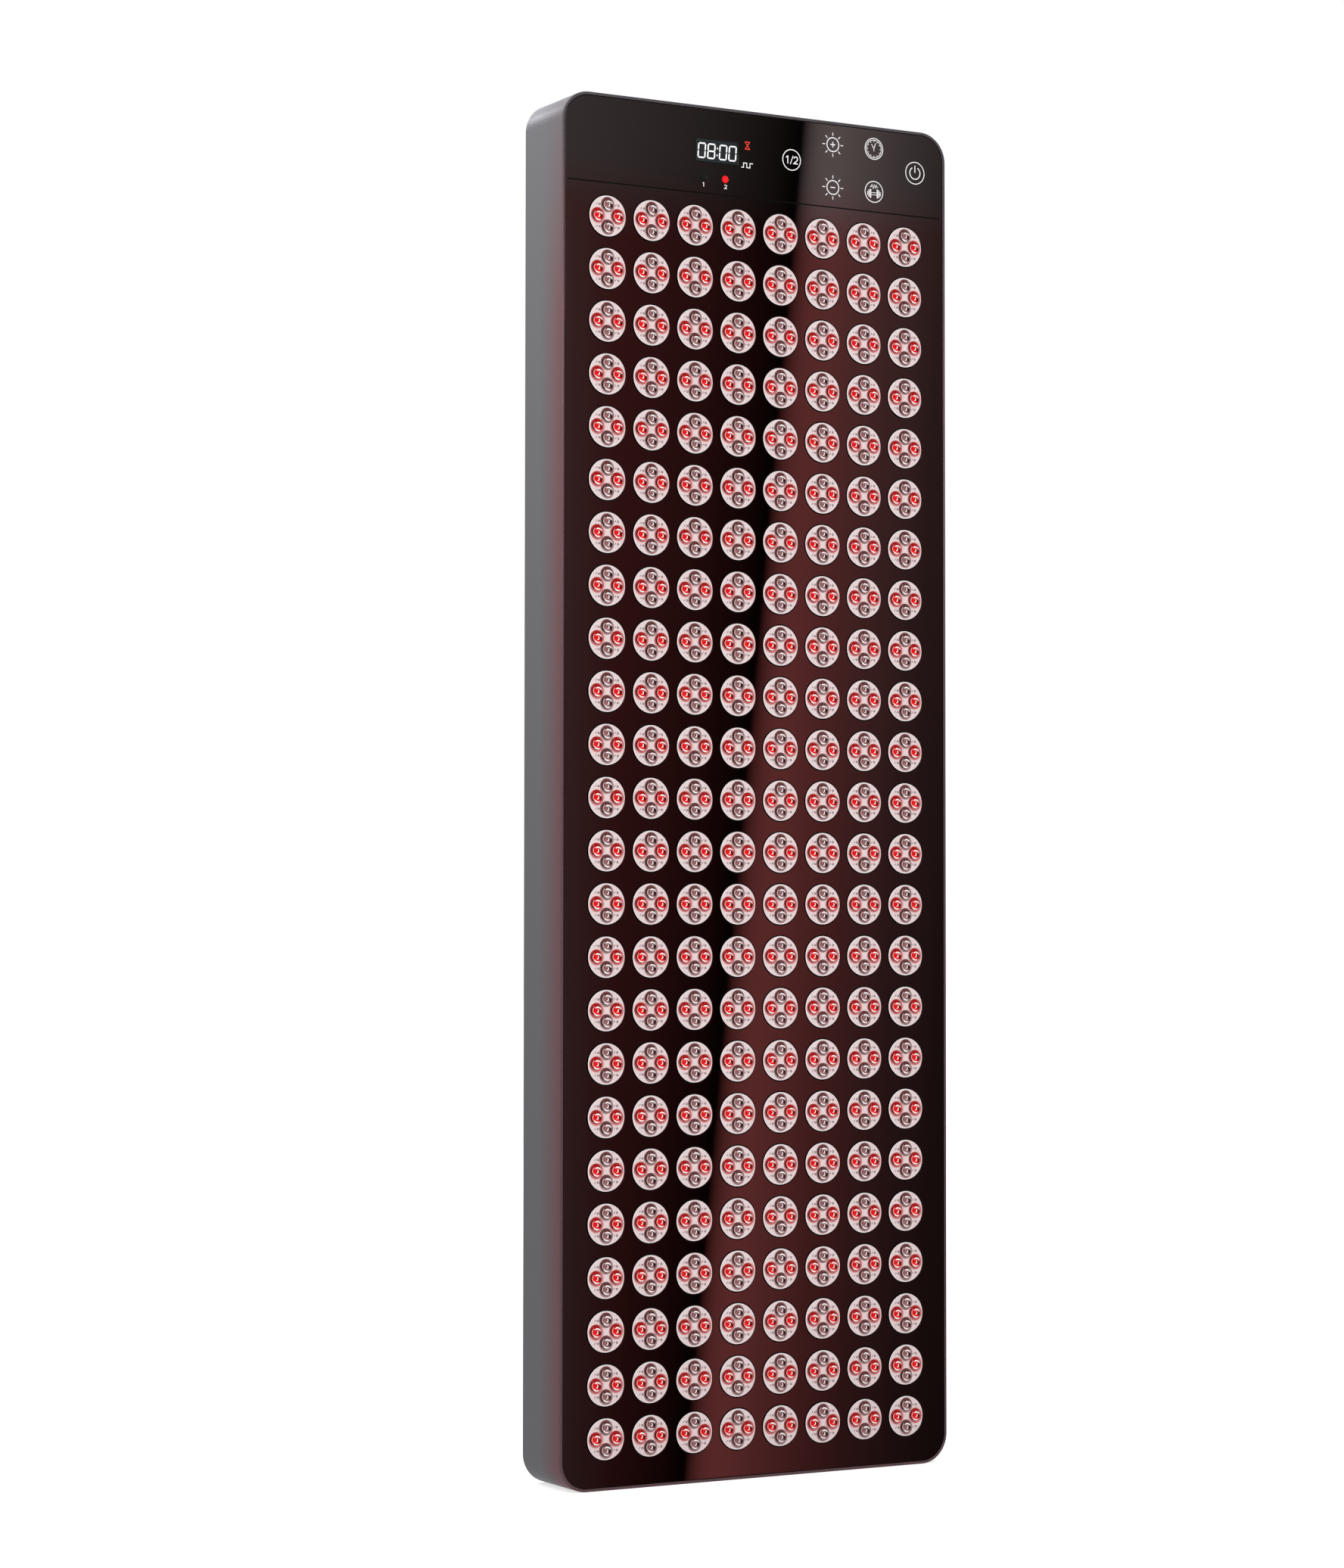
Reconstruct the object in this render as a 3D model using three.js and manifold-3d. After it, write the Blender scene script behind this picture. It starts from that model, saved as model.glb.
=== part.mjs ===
// A red light therapy panel: a flat aluminium housing that stands or hangs upright, with a glossy black front,
// 192 round lens heads on 24 board strips, a touch header with a display, and a fan-cooled back with its mains inlet.
// Millimetres. +X is to the right seen from the front, +Z is up, and the front faces -Y. The origin lies under the
// middle of the whole panel, at the height of its bottom face.
import * as THREE from 'three';
import { mergeVertices } from 'three/addons/utils/BufferGeometryUtils.js';
import Module from 'manifold-3d';

const wasm = await Module();
wasm.setup();

// Housing
const panel_width = 300;
const panel_height = 916;
const body_depth = 53.2;
const corner_radius = 20;
const corner_sides = 4; // flats in a quarter turn
const edge_chamfer = 0.8;
const wall = 2;
const seat_gap = 0.3; // between pieces that seat on one another
const ledge_width = 5; // carries the front panel
const ledge_thickness = 2;
const flange_width = 7; // carries the back cover
const flange_thickness = 1.5;
const cover_thickness = 1.5;
const overrun = 1; // how far a cutting solid runs past a face

// Front panel and lens field
const glass_thickness = 3;
const glass_recess = 0.3; // below the rim's front face
const column_count = 8;
const row_count = 24;
const side_margin = 33.7; // from the panel's side to the outer lens centres
const bottom_margin = 33.4; // from the panel's bottom to the lowest lens centres
const top_margin = 81.2; // from the panel's top to the highest lens centres
const lens_web = 5; // of front panel between neighbouring holes
const lens_sides = 8;
const lens_proud = 0.5; // how far a lens head stands out of the front panel
const lens_clearance = 0.6; // black gap round each lens head
const divider_drop = 59; // from the panel's top to the groove under the header
const divider_width = 0.8;
const divider_depth = 0.4;
const divider_margin = 2.2; // from the groove's end to the front panel's edge

// LED boards
const board_thickness = 1.6;
const board_air = 2.7; // between the front panel and the boards
const board_edge = 4; // of board beyond an outer lens head
const board_gap = 0.7; // between neighbouring boards

// Header, measured from the panel's centre line and down from its top
const window_width = 33;
const window_height = 15.8;
const window_x = -33;
const window_drop = 30;
const display_depth = 6;
const display_border = 2; // of the module beyond the window
const lamp_diameter = 4.5;
const lamp_sides = 8;
const lamp_drop = 48;
const lamp_xs = [-43, -26.2];
const touch_board_margin = 16; // from the panel's sides
const touch_board_height = 46;
const touch_board_drop = 34;
const lamp_flange = 0.8; // each lamp's foot is this much wider all round than its hole

// Heat sink
const sink_plate = 3;
const fin_height = 9;
const fin_thickness = 2.4;
const fin_count = 8;
const fin_margin = 22; // from the plate's side to the outer fins
const sink_header_gap = 5; // from the groove down to the heat sink

// Fans
const fan_count = 3;
const fan_size = 80;
const fan_depth = 25;
const fan_end_inset = 190; // from the panel's ends to the outer fans' centres
const bore_diameter = 76;
const bore_sides = 12;
const hub_diameter = 34;
const strut_count = 4;
const strut_width = 4;
const strut_thickness = 3;
const blade_count = 7;
const blade_thickness = 1.4;
const blade_tip_gap = 1.2; // to the flats of the bore
const blade_pitch_deg = 30; // from the axis, at the root
const blade_twist_deg = 22; // flatter by this much at the tip
const blade_end_gap = 1.5;
const blade_root = 2; // of each blade sunk in the hub

// Back cover
const slot_count = 6;
const slot_width = 6.4;
const slot_web = 4.6;
const slot_rim = 2; // from the bore's edge in to the slots' ends
const vent_count = 4;
const vent_length = 56;
const vent_width = 5;
const vent_pitch = 10;
const vent_drop = 92; // from the panel's top to the vents' middles
const vent_x = 60;

// Power supplies
const supply_width = 96;
const supply_depth = 27;
const supply_end_gap = 14; // to the fans above and below
const supply_chamfer = 4;

// Mains inlet, with its fuse drawer and rocker side by side
const inlet_side = 90; // from its centre to the panel's side
const inlet_height = 88; // of its centre above the panel's bottom
const inlet_flange_width = 66;
const inlet_flange_height = 32;
const inlet_flange_thickness = 2;
const inlet_flange_corner = 3;
const inlet_rim = 3; // of the flange round the body
const inlet_body_depth = 27;
const inlet_spacing = 4; // of solid between its three pockets
const socket_width = 24.6;
const socket_height = 16.8;
const socket_depth = 16;
const socket_chamfer = 4.5;
const pin_width = 2;
const pin_height = 4;
const pin_length = 13;
const pin_spacing = 14;
const pin_rise = 4; // of the earth pin over the other two
const pin_tip = 0.7;
const drawer_width = 8;
const drawer_height = 20;
const drawer_length = 20;
const drawer_proud = 1.6;
const drawer_notch = 2.4;
const rocker_width = 13;
const rocker_length = 17.4;
const rocker_swing = 1.8; // clearance beyond each end, for the tilt
const rocker_depth = 5; // of its axis below the flange's face
const rocker_skirt = 3.5; // below its axis
const rocker_end_rise = 2.2; // of its ends over the flange's face when it is level
const rocker_valley = 1.6; // of its middle below its ends
const rocker_taper = 0.5; // drawn in at the foot, each end
const rocker_tilt_deg = 9;
const rocker_pocket = 11; // depth

// Hanging brackets
const hanger_side = 50; // from its ear to the panel's side
const hanger_drop = 40; // of the eye below the panel's top
const hanger_foot_width = 22;
const hanger_foot_height = 44;
const hanger_sheet = 2;
const hanger_reach = 15; // beyond the back cover
const hanger_eye = 8;
const hanger_eye_sides = 8;
const hanger_ear_height = 24;
const hanger_ear_corner = 5;
const hanger_corner = 3;

// Places that follow from the sizes above. Depths run back from the rim's front face.
const column_pitch = (panel_width - 2 * side_margin) / (column_count - 1);
const row_pitch = (panel_height - bottom_margin - top_margin) / (row_count - 1);
const lens_diameter = Math.min(column_pitch, row_pitch) - lens_web - 2 * lens_clearance;
const inner_width = panel_width - 2 * wall;
const inner_radius = corner_radius - wall;
const glass_back = glass_recess + glass_thickness;
const ledge_front = glass_back + seat_gap;
const board_front = glass_back + board_air;
const board_back = board_front + board_thickness;
const sink_front = board_back + seat_gap;
const cover_front = body_depth - cover_thickness;
const flange_front = cover_front - seat_gap - flange_thickness;
const lens_front = glass_recess - lens_proud;
const inlet_x = inlet_side - panel_width / 2;
const hanger_x = panel_width / 2 - hanger_side;
const fan_pitch = (panel_height - 2 * fan_end_inset) / (fan_count - 1);
const fan_front = cover_front - seat_gap - fan_depth;
const blade_tip_radius = (bore_diameter / 2) * Math.cos(Math.PI / bore_sides) - blade_tip_gap;
const supply_height = fan_pitch - fan_size - 2 * supply_end_gap;
const whole_back = body_depth + hanger_reach;
const middle = (lens_front + whole_back) / 2;
const fan_heights = Array.from({ length: fan_count }, (_, i) => fan_end_inset + i * fan_pitch);

// Booleans
function toSolid(geometry) {
  const bare = new THREE.BufferGeometry().setAttribute('position', geometry.getAttribute('position').clone());
  bare.setIndex(geometry.index);
  const merged = mergeVertices(bare);
  return new wasm.Manifold(new wasm.Mesh({
    numProp: 3,
    vertProperties: merged.attributes.position.array,
    triVerts: new Uint32Array(merged.index.array),
  }));
}

function toGeometry(solid) {
  const mesh = solid.getMesh();
  const geometry = new THREE.BufferGeometry();
  geometry.setAttribute('position', new THREE.BufferAttribute(new Float32Array(mesh.vertProperties), mesh.numProp));
  geometry.setIndex(new THREE.BufferAttribute(new Uint32Array(mesh.triVerts), 1));
  return geometry;
}

function join(...geometries) {
  return toGeometry(wasm.Manifold.union(geometries.map(toSolid)));
}

function cut(geometry, ...cutters) {
  return toGeometry(toSolid(geometry).subtract(wasm.Manifold.union(cutters.map(toSolid))));
}

// Outlines lie in the XZ plane, as lists of points
function polygon(radius, sides, x = 0, z = 0) {
  return Array.from({ length: sides }, (_, i) => {
    const angle = ((i + 0.5) * 2 * Math.PI) / sides;
    return new THREE.Vector2(x + radius * Math.cos(angle), z + radius * Math.sin(angle));
  });
}

function rectangle(width, height, x = 0, z = 0) {
  return [[-1, -1], [1, -1], [1, 1], [-1, 1]].map(
    ([u, v]) => new THREE.Vector2(x + (u * width) / 2, z + (v * height) / 2),
  );
}

function roundedRectangle(width, height, radius, sides, x = 0, z = 0) {
  const quarters = [[1, 1], [-1, 1], [-1, -1], [1, -1]];
  return quarters.flatMap(([u, v], quarter) => Array.from({ length: sides + 1 }, (_, i) => {
    const angle = (quarter + i / sides) * (Math.PI / 2);
    return new THREE.Vector2(
      x + u * (width / 2 - radius) + radius * Math.cos(angle),
      z + v * (height / 2 - radius) + radius * Math.sin(angle),
    );
  }));
}

// A sheet whose outline faces the front, from depth `front` back by `thickness`, with holes right through it
function sheet(points, front, thickness, holes = []) {
  const plain = new THREE.ExtrudeGeometry(new THREE.Shape(points), { depth: thickness, bevelEnabled: false })
    .rotateX(Math.PI / 2)
    .translate(0, front + thickness, 0);
  const cutters = holes.map((hole) => sheet(hole, front - overrun, thickness + 2 * overrun));
  return cutters.length ? cut(plain, ...cutters) : plain;
}

// A bar whose outline is seen from the side, as points of depth and height, across the width about X = 0
function bar(points, width) {
  return new THREE.ExtrudeGeometry(new THREE.Shape(points), { depth: width, bevelEnabled: false })
    .translate(0, 0, -width / 2)
    .applyMatrix4(new THREE.Matrix4().makeBasis(
      new THREE.Vector3(0, 1, 0),
      new THREE.Vector3(0, 0, 1),
      new THREE.Vector3(1, 0, 0),
    ));
}

// A rod along Y from depth `front`
function rod(diameter, sides, front, length, x = 0, z = 0) {
  return sheet(polygon(diameter / 2, sides, x, z), front, length);
}

function block(width, depth, height, x, front, z) {
  return new THREE.BoxGeometry(width, depth, height).translate(x, front + depth / 2, z);
}

// Sub-parts
const satin_aluminium = { color: 0x7c7a7d, roughness: 0.42, metalness: 0.9 };
const gloss_black = { color: 0x120a0a, roughness: 0.06, metalness: 0 };
const red_lens = { color: 0xd83a34, roughness: 0.15, metalness: 0 };
const black_plastic = { color: 0x161617, roughness: 0.45, metalness: 0 };
const green_board = { color: 0x1d4a2b, roughness: 0.5, metalness: 0 };
const zinc_steel = { color: 0xa8abad, roughness: 0.35, metalness: 0.9 };
const black_paint = { color: 0x1c1c1e, roughness: 0.5, metalness: 0.3 };
const smoked = { color: 0x20282a, roughness: 0.08, metalness: 0 };
const brass = { color: 0xc4a45a, roughness: 0.3, metalness: 1 };

const panel = new THREE.Group();
panel.position.y = -middle;

function place(name, geometry, material, parent = panel, x = 0, y = 0, z = 0) {
  geometry.computeVertexNormals();
  const mesh = new THREE.Mesh(geometry, new THREE.MeshStandardMaterial(material));
  mesh.name = name;
  mesh.position.set(x, y, z);
  parent.add(mesh);
  return mesh;
}

function panelOutline(inset, radius, sides = corner_sides) {
  return roundedRectangle(panel_width - 2 * inset, panel_height - 2 * inset, radius, sides, 0, panel_height / 2);
}

// The band round the housing, with a chamfer on both outer edges, a ledge behind the front panel
// and a flange in front of the back cover
function sideFrame() {
  const wall_outline = panelOutline(wall, inner_radius);
  const core = panelOutline(edge_chamfer, corner_radius - edge_chamfer);
  const outer = new THREE.ExtrudeGeometry(new THREE.Shape(core), {
    depth: body_depth - 2 * edge_chamfer,
    bevelEnabled: true,
    bevelSegments: 1,
    bevelSize: edge_chamfer,
    bevelThickness: edge_chamfer,
  }).rotateX(Math.PI / 2).translate(0, body_depth - edge_chamfer, 0);
  const band = cut(outer, sheet(wall_outline, -overrun, body_depth + 2 * overrun));
  const overlap = panelOutline(wall - edge_chamfer, inner_radius + edge_chamfer);
  const ledge = sheet(overlap, ledge_front, ledge_thickness, [
    panelOutline(wall + ledge_width, inner_radius - ledge_width, 1),
  ]);
  const flange = sheet(overlap, flange_front, flange_thickness, [
    panelOutline(wall + flange_width, inner_radius - flange_width, 1),
  ]);
  return join(band, ledge, flange);
}

function lensCentres() {
  return Array.from({ length: row_count }, (_, row) => Array.from({ length: column_count }, (__, column) => [
    (column - (column_count - 1) / 2) * column_pitch,
    bottom_margin + row * row_pitch,
  ])).flat();
}

// The glossy sheet, with a clearance hole round every lens head, the window and the lamps
function frontPanel() {
  const inset = wall + seat_gap;
  const lens_holes = lensCentres().map(
    ([x, z]) => polygon(lens_diameter / 2 + lens_clearance, lens_sides, x, z),
  );
  const lamp_holes = lamp_xs.map((x) => polygon(lamp_diameter / 2 + seat_gap, lamp_sides, x, panel_height - lamp_drop));
  const window_hole = rectangle(window_width, window_height, window_x, panel_height - window_drop);
  const glass = sheet(panelOutline(inset, corner_radius - inset), glass_recess, glass_thickness, [
    ...lens_holes, ...lamp_holes, window_hole,
  ]);
  const groove = block(
    panel_width - 2 * (inset + divider_margin), divider_depth + overrun, divider_width,
    0, glass_recess - overrun, panel_height - divider_drop,
  );
  return cut(glass, groove);
}

// One board strip with its eight lens heads, which reach through the front panel
function ledRow() {
  const board_width = (column_count - 1) * column_pitch + lens_diameter + 2 * board_edge;
  const board = block(board_width, board_thickness, row_pitch - board_gap, 0, board_front, 0);
  const heads = Array.from({ length: column_count }, (_, column) => rod(
    lens_diameter, lens_sides, lens_front, board_front + board_thickness / 2 - lens_front,
    (column - (column_count - 1) / 2) * column_pitch, 0,
  ));
  return join(board, ...heads);
}

// The extruded heat sink, one comb outline run along the panel's height
function heatSink() {
  const half = inner_width / 2 - seat_gap;
  const fin_back = sink_plate + fin_height;
  const fin_pitch = (2 * (half - fin_margin)) / (fin_count - 1);
  const fins = Array.from({ length: fin_count }, (_, i) => {
    const x = half - fin_margin - i * fin_pitch;
    return [
      [x + fin_thickness / 2, sink_plate], [x + fin_thickness / 2, fin_back],
      [x - fin_thickness / 2, fin_back], [x - fin_thickness / 2, sink_plate],
    ];
  }).flat();
  const comb = [[-half, 0], [half, 0], [half, sink_plate], ...fins, [-half, sink_plate]];
  const height = panel_height - divider_drop - sink_header_gap - corner_radius;
  const shape = new THREE.Shape(comb.map(([x, y]) => new THREE.Vector2(x, y)));
  return new THREE.ExtrudeGeometry(shape, { depth: height, bevelEnabled: false });
}

function displayWindow() {
  return sheet(rectangle(window_width - 2 * seat_gap, window_height - 2 * seat_gap), glass_recess, glass_thickness);
}

function displayModule() {
  return block(
    window_width + 2 * display_border, display_depth, window_height + 2 * display_border, 0, glass_back + seat_gap, 0,
  );
}

// The touch board lies against the front panel's back, and is open round the display and the lamps' feet
function touchBoard() {
  const display_hole = rectangle(
    window_width + 2 * (display_border + seat_gap), window_height + 2 * (display_border + seat_gap),
    window_x, touch_board_drop - window_drop,
  );
  const foot = lamp_diameter + 2 * (lamp_flange + seat_gap);
  const lamp_holes = lamp_xs.map((x) => rectangle(foot, foot, x, touch_board_drop - lamp_drop));
  return sheet(
    rectangle(panel_width - 2 * touch_board_margin, touch_board_height), glass_back + seat_gap, board_thickness,
    [display_hole, ...lamp_holes],
  );
}

// An indicator lamp: a round light guide through the front panel, on a square foot behind it
function indicatorLamp() {
  const foot = lamp_diameter + 2 * lamp_flange;
  return join(
    rod(lamp_diameter, lamp_sides, glass_recess, glass_thickness + seat_gap + board_thickness / 2),
    block(foot, board_thickness, foot, 0, glass_back + seat_gap, 0),
  );
}

// The grille's slots are chords of one circle
function fanSlots() {
  const reach = bore_diameter / 2 - slot_rim;
  const pitch = slot_width + slot_web;
  return fan_heights.flatMap((height) => Array.from({ length: slot_count }, (_, i) => {
    const offset = (i - (slot_count - 1) / 2) * pitch;
    const edge = Math.abs(offset) + slot_width / 2;
    return rectangle(2 * Math.sqrt(Math.max(reach ** 2 - edge ** 2, slot_width ** 2)), slot_width, 0, height + offset);
  }));
}

function airVents() {
  return [-vent_x, vent_x].flatMap((x) => Array.from({ length: vent_count }, (_, i) => rectangle(
    vent_length, vent_width, x, panel_height - vent_drop + (i - (vent_count - 1) / 2) * vent_pitch,
  )));
}

function backCover() {
  const inset = wall + seat_gap;
  const inlet_hole = rectangle(
    inletBodyWidth() + 2 * seat_gap, inletBodyHeight() + 2 * seat_gap, inlet_x, inlet_height,
  );
  return sheet(panelOutline(inset, corner_radius - inset), cover_front, cover_thickness, [
    ...fanSlots(), ...airVents(), inlet_hole,
  ]);
}

function powerSupply() {
  const w = supply_width / 2;
  const points = [
    [-w, supply_depth], [-w, supply_chamfer], [supply_chamfer - w, 0],
    [w - supply_chamfer, 0], [w, supply_chamfer], [w, supply_depth],
  ];
  const shape = new THREE.Shape(points.map(([x, y]) => new THREE.Vector2(x, y)));
  return new THREE.ExtrudeGeometry(shape, { depth: supply_height, bevelEnabled: false })
    .translate(0, 0, -supply_height / 2);
}

// A square fan housing with a round bore, and four struts at its front that carry the hub plate
function fanFrame() {
  const duct = sheet(rectangle(fan_size, fan_size), 0, fan_depth, [polygon(bore_diameter / 2, bore_sides)]);
  const strut_length = (bore_diameter + fan_size) / 2;
  const across = block(strut_length, strut_thickness, strut_width, 0, 0, 0);
  const upright = block(strut_width, strut_thickness, strut_length, 0, 0, 0);
  return join(duct, across, upright, rod(hub_diameter, strut_count * 2, 0, strut_thickness));
}

// A blade is lofted from a steep root, sunk in the hub, to a flatter tip
function blade(angle) {
  const root = hub_diameter / 2 - blade_root;
  const axial = fan_depth - strut_thickness - seat_gap - 2 * blade_end_gap;
  const stations = [[root, 0], [blade_tip_radius, 1]];
  const loops = stations.map(([radius, share]) => {
    const pitch = THREE.MathUtils.degToRad(blade_pitch_deg + blade_twist_deg * share);
    const chord = axial / Math.cos(pitch) / 2;
    return [[-1, -1], [1, -1], [1, 1], [-1, 1]].map(([along, across]) => {
      const side = (along * chord * Math.sin(pitch)) + (across * blade_thickness * Math.cos(pitch)) / 2;
      const y = (along * chord * Math.cos(pitch)) - (across * blade_thickness * Math.sin(pitch)) / 2;
      return new THREE.Vector3(Math.sqrt(radius ** 2 - side ** 2), y, -side);
    });
  });
  const points = loops.flat();
  const faces = [[0, 1, 2], [0, 2, 3]];
  const last = 4 * (loops.length - 1);
  faces.push([last, last + 2, last + 1], [last, last + 3, last + 2]);
  for (let loop = 0; loop < loops.length - 1; loop += 1) {
    for (let side = 0; side < 4; side += 1) {
      const a = 4 * loop + side;
      const b = 4 * loop + ((side + 1) % 4);
      faces.push([a, a + 4, b], [b, a + 4, b + 4]);
    }
  }
  const geometry = new THREE.BufferGeometry().setFromPoints(points);
  geometry.setIndex(faces.flat());
  return geometry.rotateY(angle).translate(0, strut_thickness + seat_gap + blade_end_gap + axial / 2, 0);
}

function fanRotor() {
  const hub_length = fan_depth - strut_thickness - seat_gap - blade_end_gap;
  const hub = rod(hub_diameter, blade_count, strut_thickness + seat_gap, hub_length);
  const blades = Array.from({ length: blade_count }, (_, i) => blade((i * 2 * Math.PI) / blade_count));
  return join(hub, ...blades);
}

// The inlet's three pockets lie side by side, from the socket to the rocker
function inletBodyWidth() {
  return inlet_flange_width - 2 * inlet_rim;
}

function inletBodyHeight() {
  return inlet_flange_height - 2 * inlet_rim;
}

const drawer_pocket_width = drawer_width + 2 * seat_gap;
const rocker_pocket_width = rocker_width + 2 * seat_gap;
const pockets_width = socket_width + drawer_pocket_width + rocker_pocket_width + 2 * inlet_spacing;
const socket_u = (pockets_width - socket_width) / 2;
const drawer_u = socket_u - (socket_width + drawer_pocket_width) / 2 - inlet_spacing;
const rocker_u = drawer_u - (drawer_pocket_width + rocker_pocket_width) / 2 - inlet_spacing;
const inlet_face = body_depth + seat_gap + inlet_flange_thickness;

function inletHousing() {
  const flange = sheet(
    roundedRectangle(inlet_flange_width, inlet_flange_height, inlet_flange_corner, 1),
    body_depth + seat_gap, inlet_flange_thickness,
  );
  const body = block(
    inletBodyWidth(), inlet_body_depth, inletBodyHeight(),
    0, inlet_face - inlet_flange_thickness / 2 - inlet_body_depth, 0,
  );
  const w = socket_width / 2;
  const h = socket_height / 2;
  const mouth = [
    [-w, h], [-w, socket_chamfer - h], [socket_chamfer - w, -h], [w - socket_chamfer, -h], [w, socket_chamfer - h], [w, h],
  ].map(([x, z]) => new THREE.Vector2(socket_u + x, z));
  const socket = sheet(mouth, inlet_face - socket_depth, socket_depth + overrun);
  const drawer_pocket = block(
    drawer_pocket_width, drawer_length + seat_gap + overrun, drawer_height + 2 * seat_gap,
    drawer_u, inlet_face - drawer_length - seat_gap, 0,
  );
  const rocker_well = block(
    rocker_pocket_width, rocker_pocket + overrun, rocker_length + 2 * rocker_swing,
    rocker_u, inlet_face - rocker_pocket, 0,
  );
  return cut(join(flange, body), socket, drawer_pocket, rocker_well);
}

// A flat pin with a chamfered tip, standing on the socket's floor
function inletPin() {
  const h = pin_height / 2;
  const front = inlet_face - socket_depth + seat_gap;
  return bar([
    [front, -h], [front + pin_length - pin_tip, -h], [front + pin_length, pin_tip - h],
    [front + pin_length, h - pin_tip], [front + pin_length - pin_tip, h], [front, h],
  ].map(([y, z]) => new THREE.Vector2(y, z)), pin_width);
}

// The fuse drawer, with a finger notch in its lower edge
function fuseDrawer() {
  const h = drawer_height / 2;
  const back = inlet_face + drawer_proud;
  return bar([
    [inlet_face - drawer_length, -h], [inlet_face + seat_gap, -h], [inlet_face + seat_gap, drawer_notch - h],
    [back, drawer_notch - h], [back, h], [inlet_face - drawer_length, h],
  ].map(([y, z]) => new THREE.Vector2(y, z)), drawer_width);
}

// The rocker about its own axis, level; it rests tilted to one side
function rocker() {
  const l = rocker_length / 2;
  const end = rocker_depth + rocker_end_rise;
  return bar([
    [-rocker_skirt, rocker_taper - l], [end, -l], [end - rocker_valley, 0], [end, l], [-rocker_skirt, l - rocker_taper],
  ].map(([y, z]) => new THREE.Vector2(y, z)), rocker_width);
}

// A bracket of folded sheet: a foot on the back cover and an ear with an eye for a rope hook
function hanger() {
  const foot = sheet(
    roundedRectangle(hanger_foot_width, hanger_foot_height, hanger_corner, 1), body_depth + seat_gap, hanger_sheet,
  );
  const reach = hanger_reach - seat_gap;
  const h = hanger_ear_height / 2;
  const c = hanger_ear_corner;
  const ear_shape = new THREE.Shape([
    [0, -h], [reach - c, -h], [reach, c - h], [reach, h - c], [reach - c, h], [0, h],
  ].map(([y, z]) => new THREE.Vector2(y, z)));
  const eye_y = (hanger_sheet + reach) / 2;
  ear_shape.holes = [new THREE.Path(polygon(hanger_eye / 2, hanger_eye_sides, eye_y, 0))];
  const ear = new THREE.ExtrudeGeometry(ear_shape, { depth: hanger_sheet, bevelEnabled: false })
    .translate(0, 0, -hanger_sheet / 2)
    .applyMatrix4(new THREE.Matrix4().makeBasis(
      new THREE.Vector3(0, 1, 0),
      new THREE.Vector3(0, 0, 1),
      new THREE.Vector3(1, 0, 0),
    ))
    .translate(0, body_depth + seat_gap, 0);
  return join(foot, ear);
}

// The assembly
place('side_frame', sideFrame(), satin_aluminium);
place('front_panel', frontPanel(), gloss_black);
for (let row = 0; row < row_count; row += 1) {
  const number = String(row_count - row).padStart(2, '0');
  place(`led_row_${number}`, ledRow(), red_lens, panel, 0, 0, bottom_margin + row * row_pitch);
}
place('heat_sink', heatSink(), satin_aluminium, panel, 0, sink_front, corner_radius);

place('display_window', displayWindow(), smoked, panel, window_x, 0, panel_height - window_drop);
place('display_module', displayModule(), black_plastic, panel, window_x, 0, panel_height - window_drop);
place('touch_board', touchBoard(), green_board, panel, 0, 0, panel_height - touch_board_drop);
lamp_xs.forEach((x, i) => {
  place(`indicator_lamp_${i + 1}`, indicatorLamp(), red_lens, panel, x, 0, panel_height - lamp_drop);
});

fan_heights.forEach((height, i) => {
  const fan = new THREE.Group();
  fan.position.set(0, fan_front, height);
  place(`fan_frame_${i + 1}`, fanFrame(), black_plastic, fan);
  place(`fan_rotor_${i + 1}`, fanRotor(), black_plastic, fan);
  panel.add(fan);
});
for (let i = 0; i < fan_count - 1; i += 1) {
  const height = (fan_heights[i] + fan_heights[i + 1]) / 2;
  place(`power_supply_${i + 1}`, powerSupply(), zinc_steel, panel, 0, cover_front - seat_gap - supply_depth, height);
}

place('back_cover', backCover(), black_paint);

const inlet = new THREE.Group();
inlet.position.set(inlet_x, 0, inlet_height);
place('inlet_housing', inletHousing(), black_plastic, inlet);
place('inlet_pin_line', inletPin(), brass, inlet, socket_u - pin_spacing / 2, 0, -pin_rise / 2);
place('inlet_pin_neutral', inletPin(), brass, inlet, socket_u + pin_spacing / 2, 0, -pin_rise / 2);
place('inlet_pin_earth', inletPin(), brass, inlet, socket_u, 0, pin_rise / 2);
place('fuse_drawer', fuseDrawer(), black_plastic, inlet, drawer_u);
const rocker_mesh = place('mains_rocker', rocker(), black_plastic, inlet, rocker_u, inlet_face - rocker_depth, 0);
rocker_mesh.rotation.x = THREE.MathUtils.degToRad(rocker_tilt_deg);
panel.add(inlet);

place('hanger_left', hanger(), zinc_steel, panel, -hanger_x, 0, panel_height - hanger_drop);
place('hanger_right', hanger(), zinc_steel, panel, hanger_x, 0, panel_height - hanger_drop);

const whole = new THREE.Group();
whole.add(panel);

export default whole;
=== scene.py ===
"""A red light therapy panel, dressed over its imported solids, laid out as a Blender add-on.

Every length is in metres, in the solids' own frame: +X to the right seen from the front, +Z up, the front facing -Y.
"""
import math

import bmesh
import bpy
from bpy.props import FloatProperty, FloatVectorProperty, IntProperty, PointerProperty
from mathutils import Matrix, Vector


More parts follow.
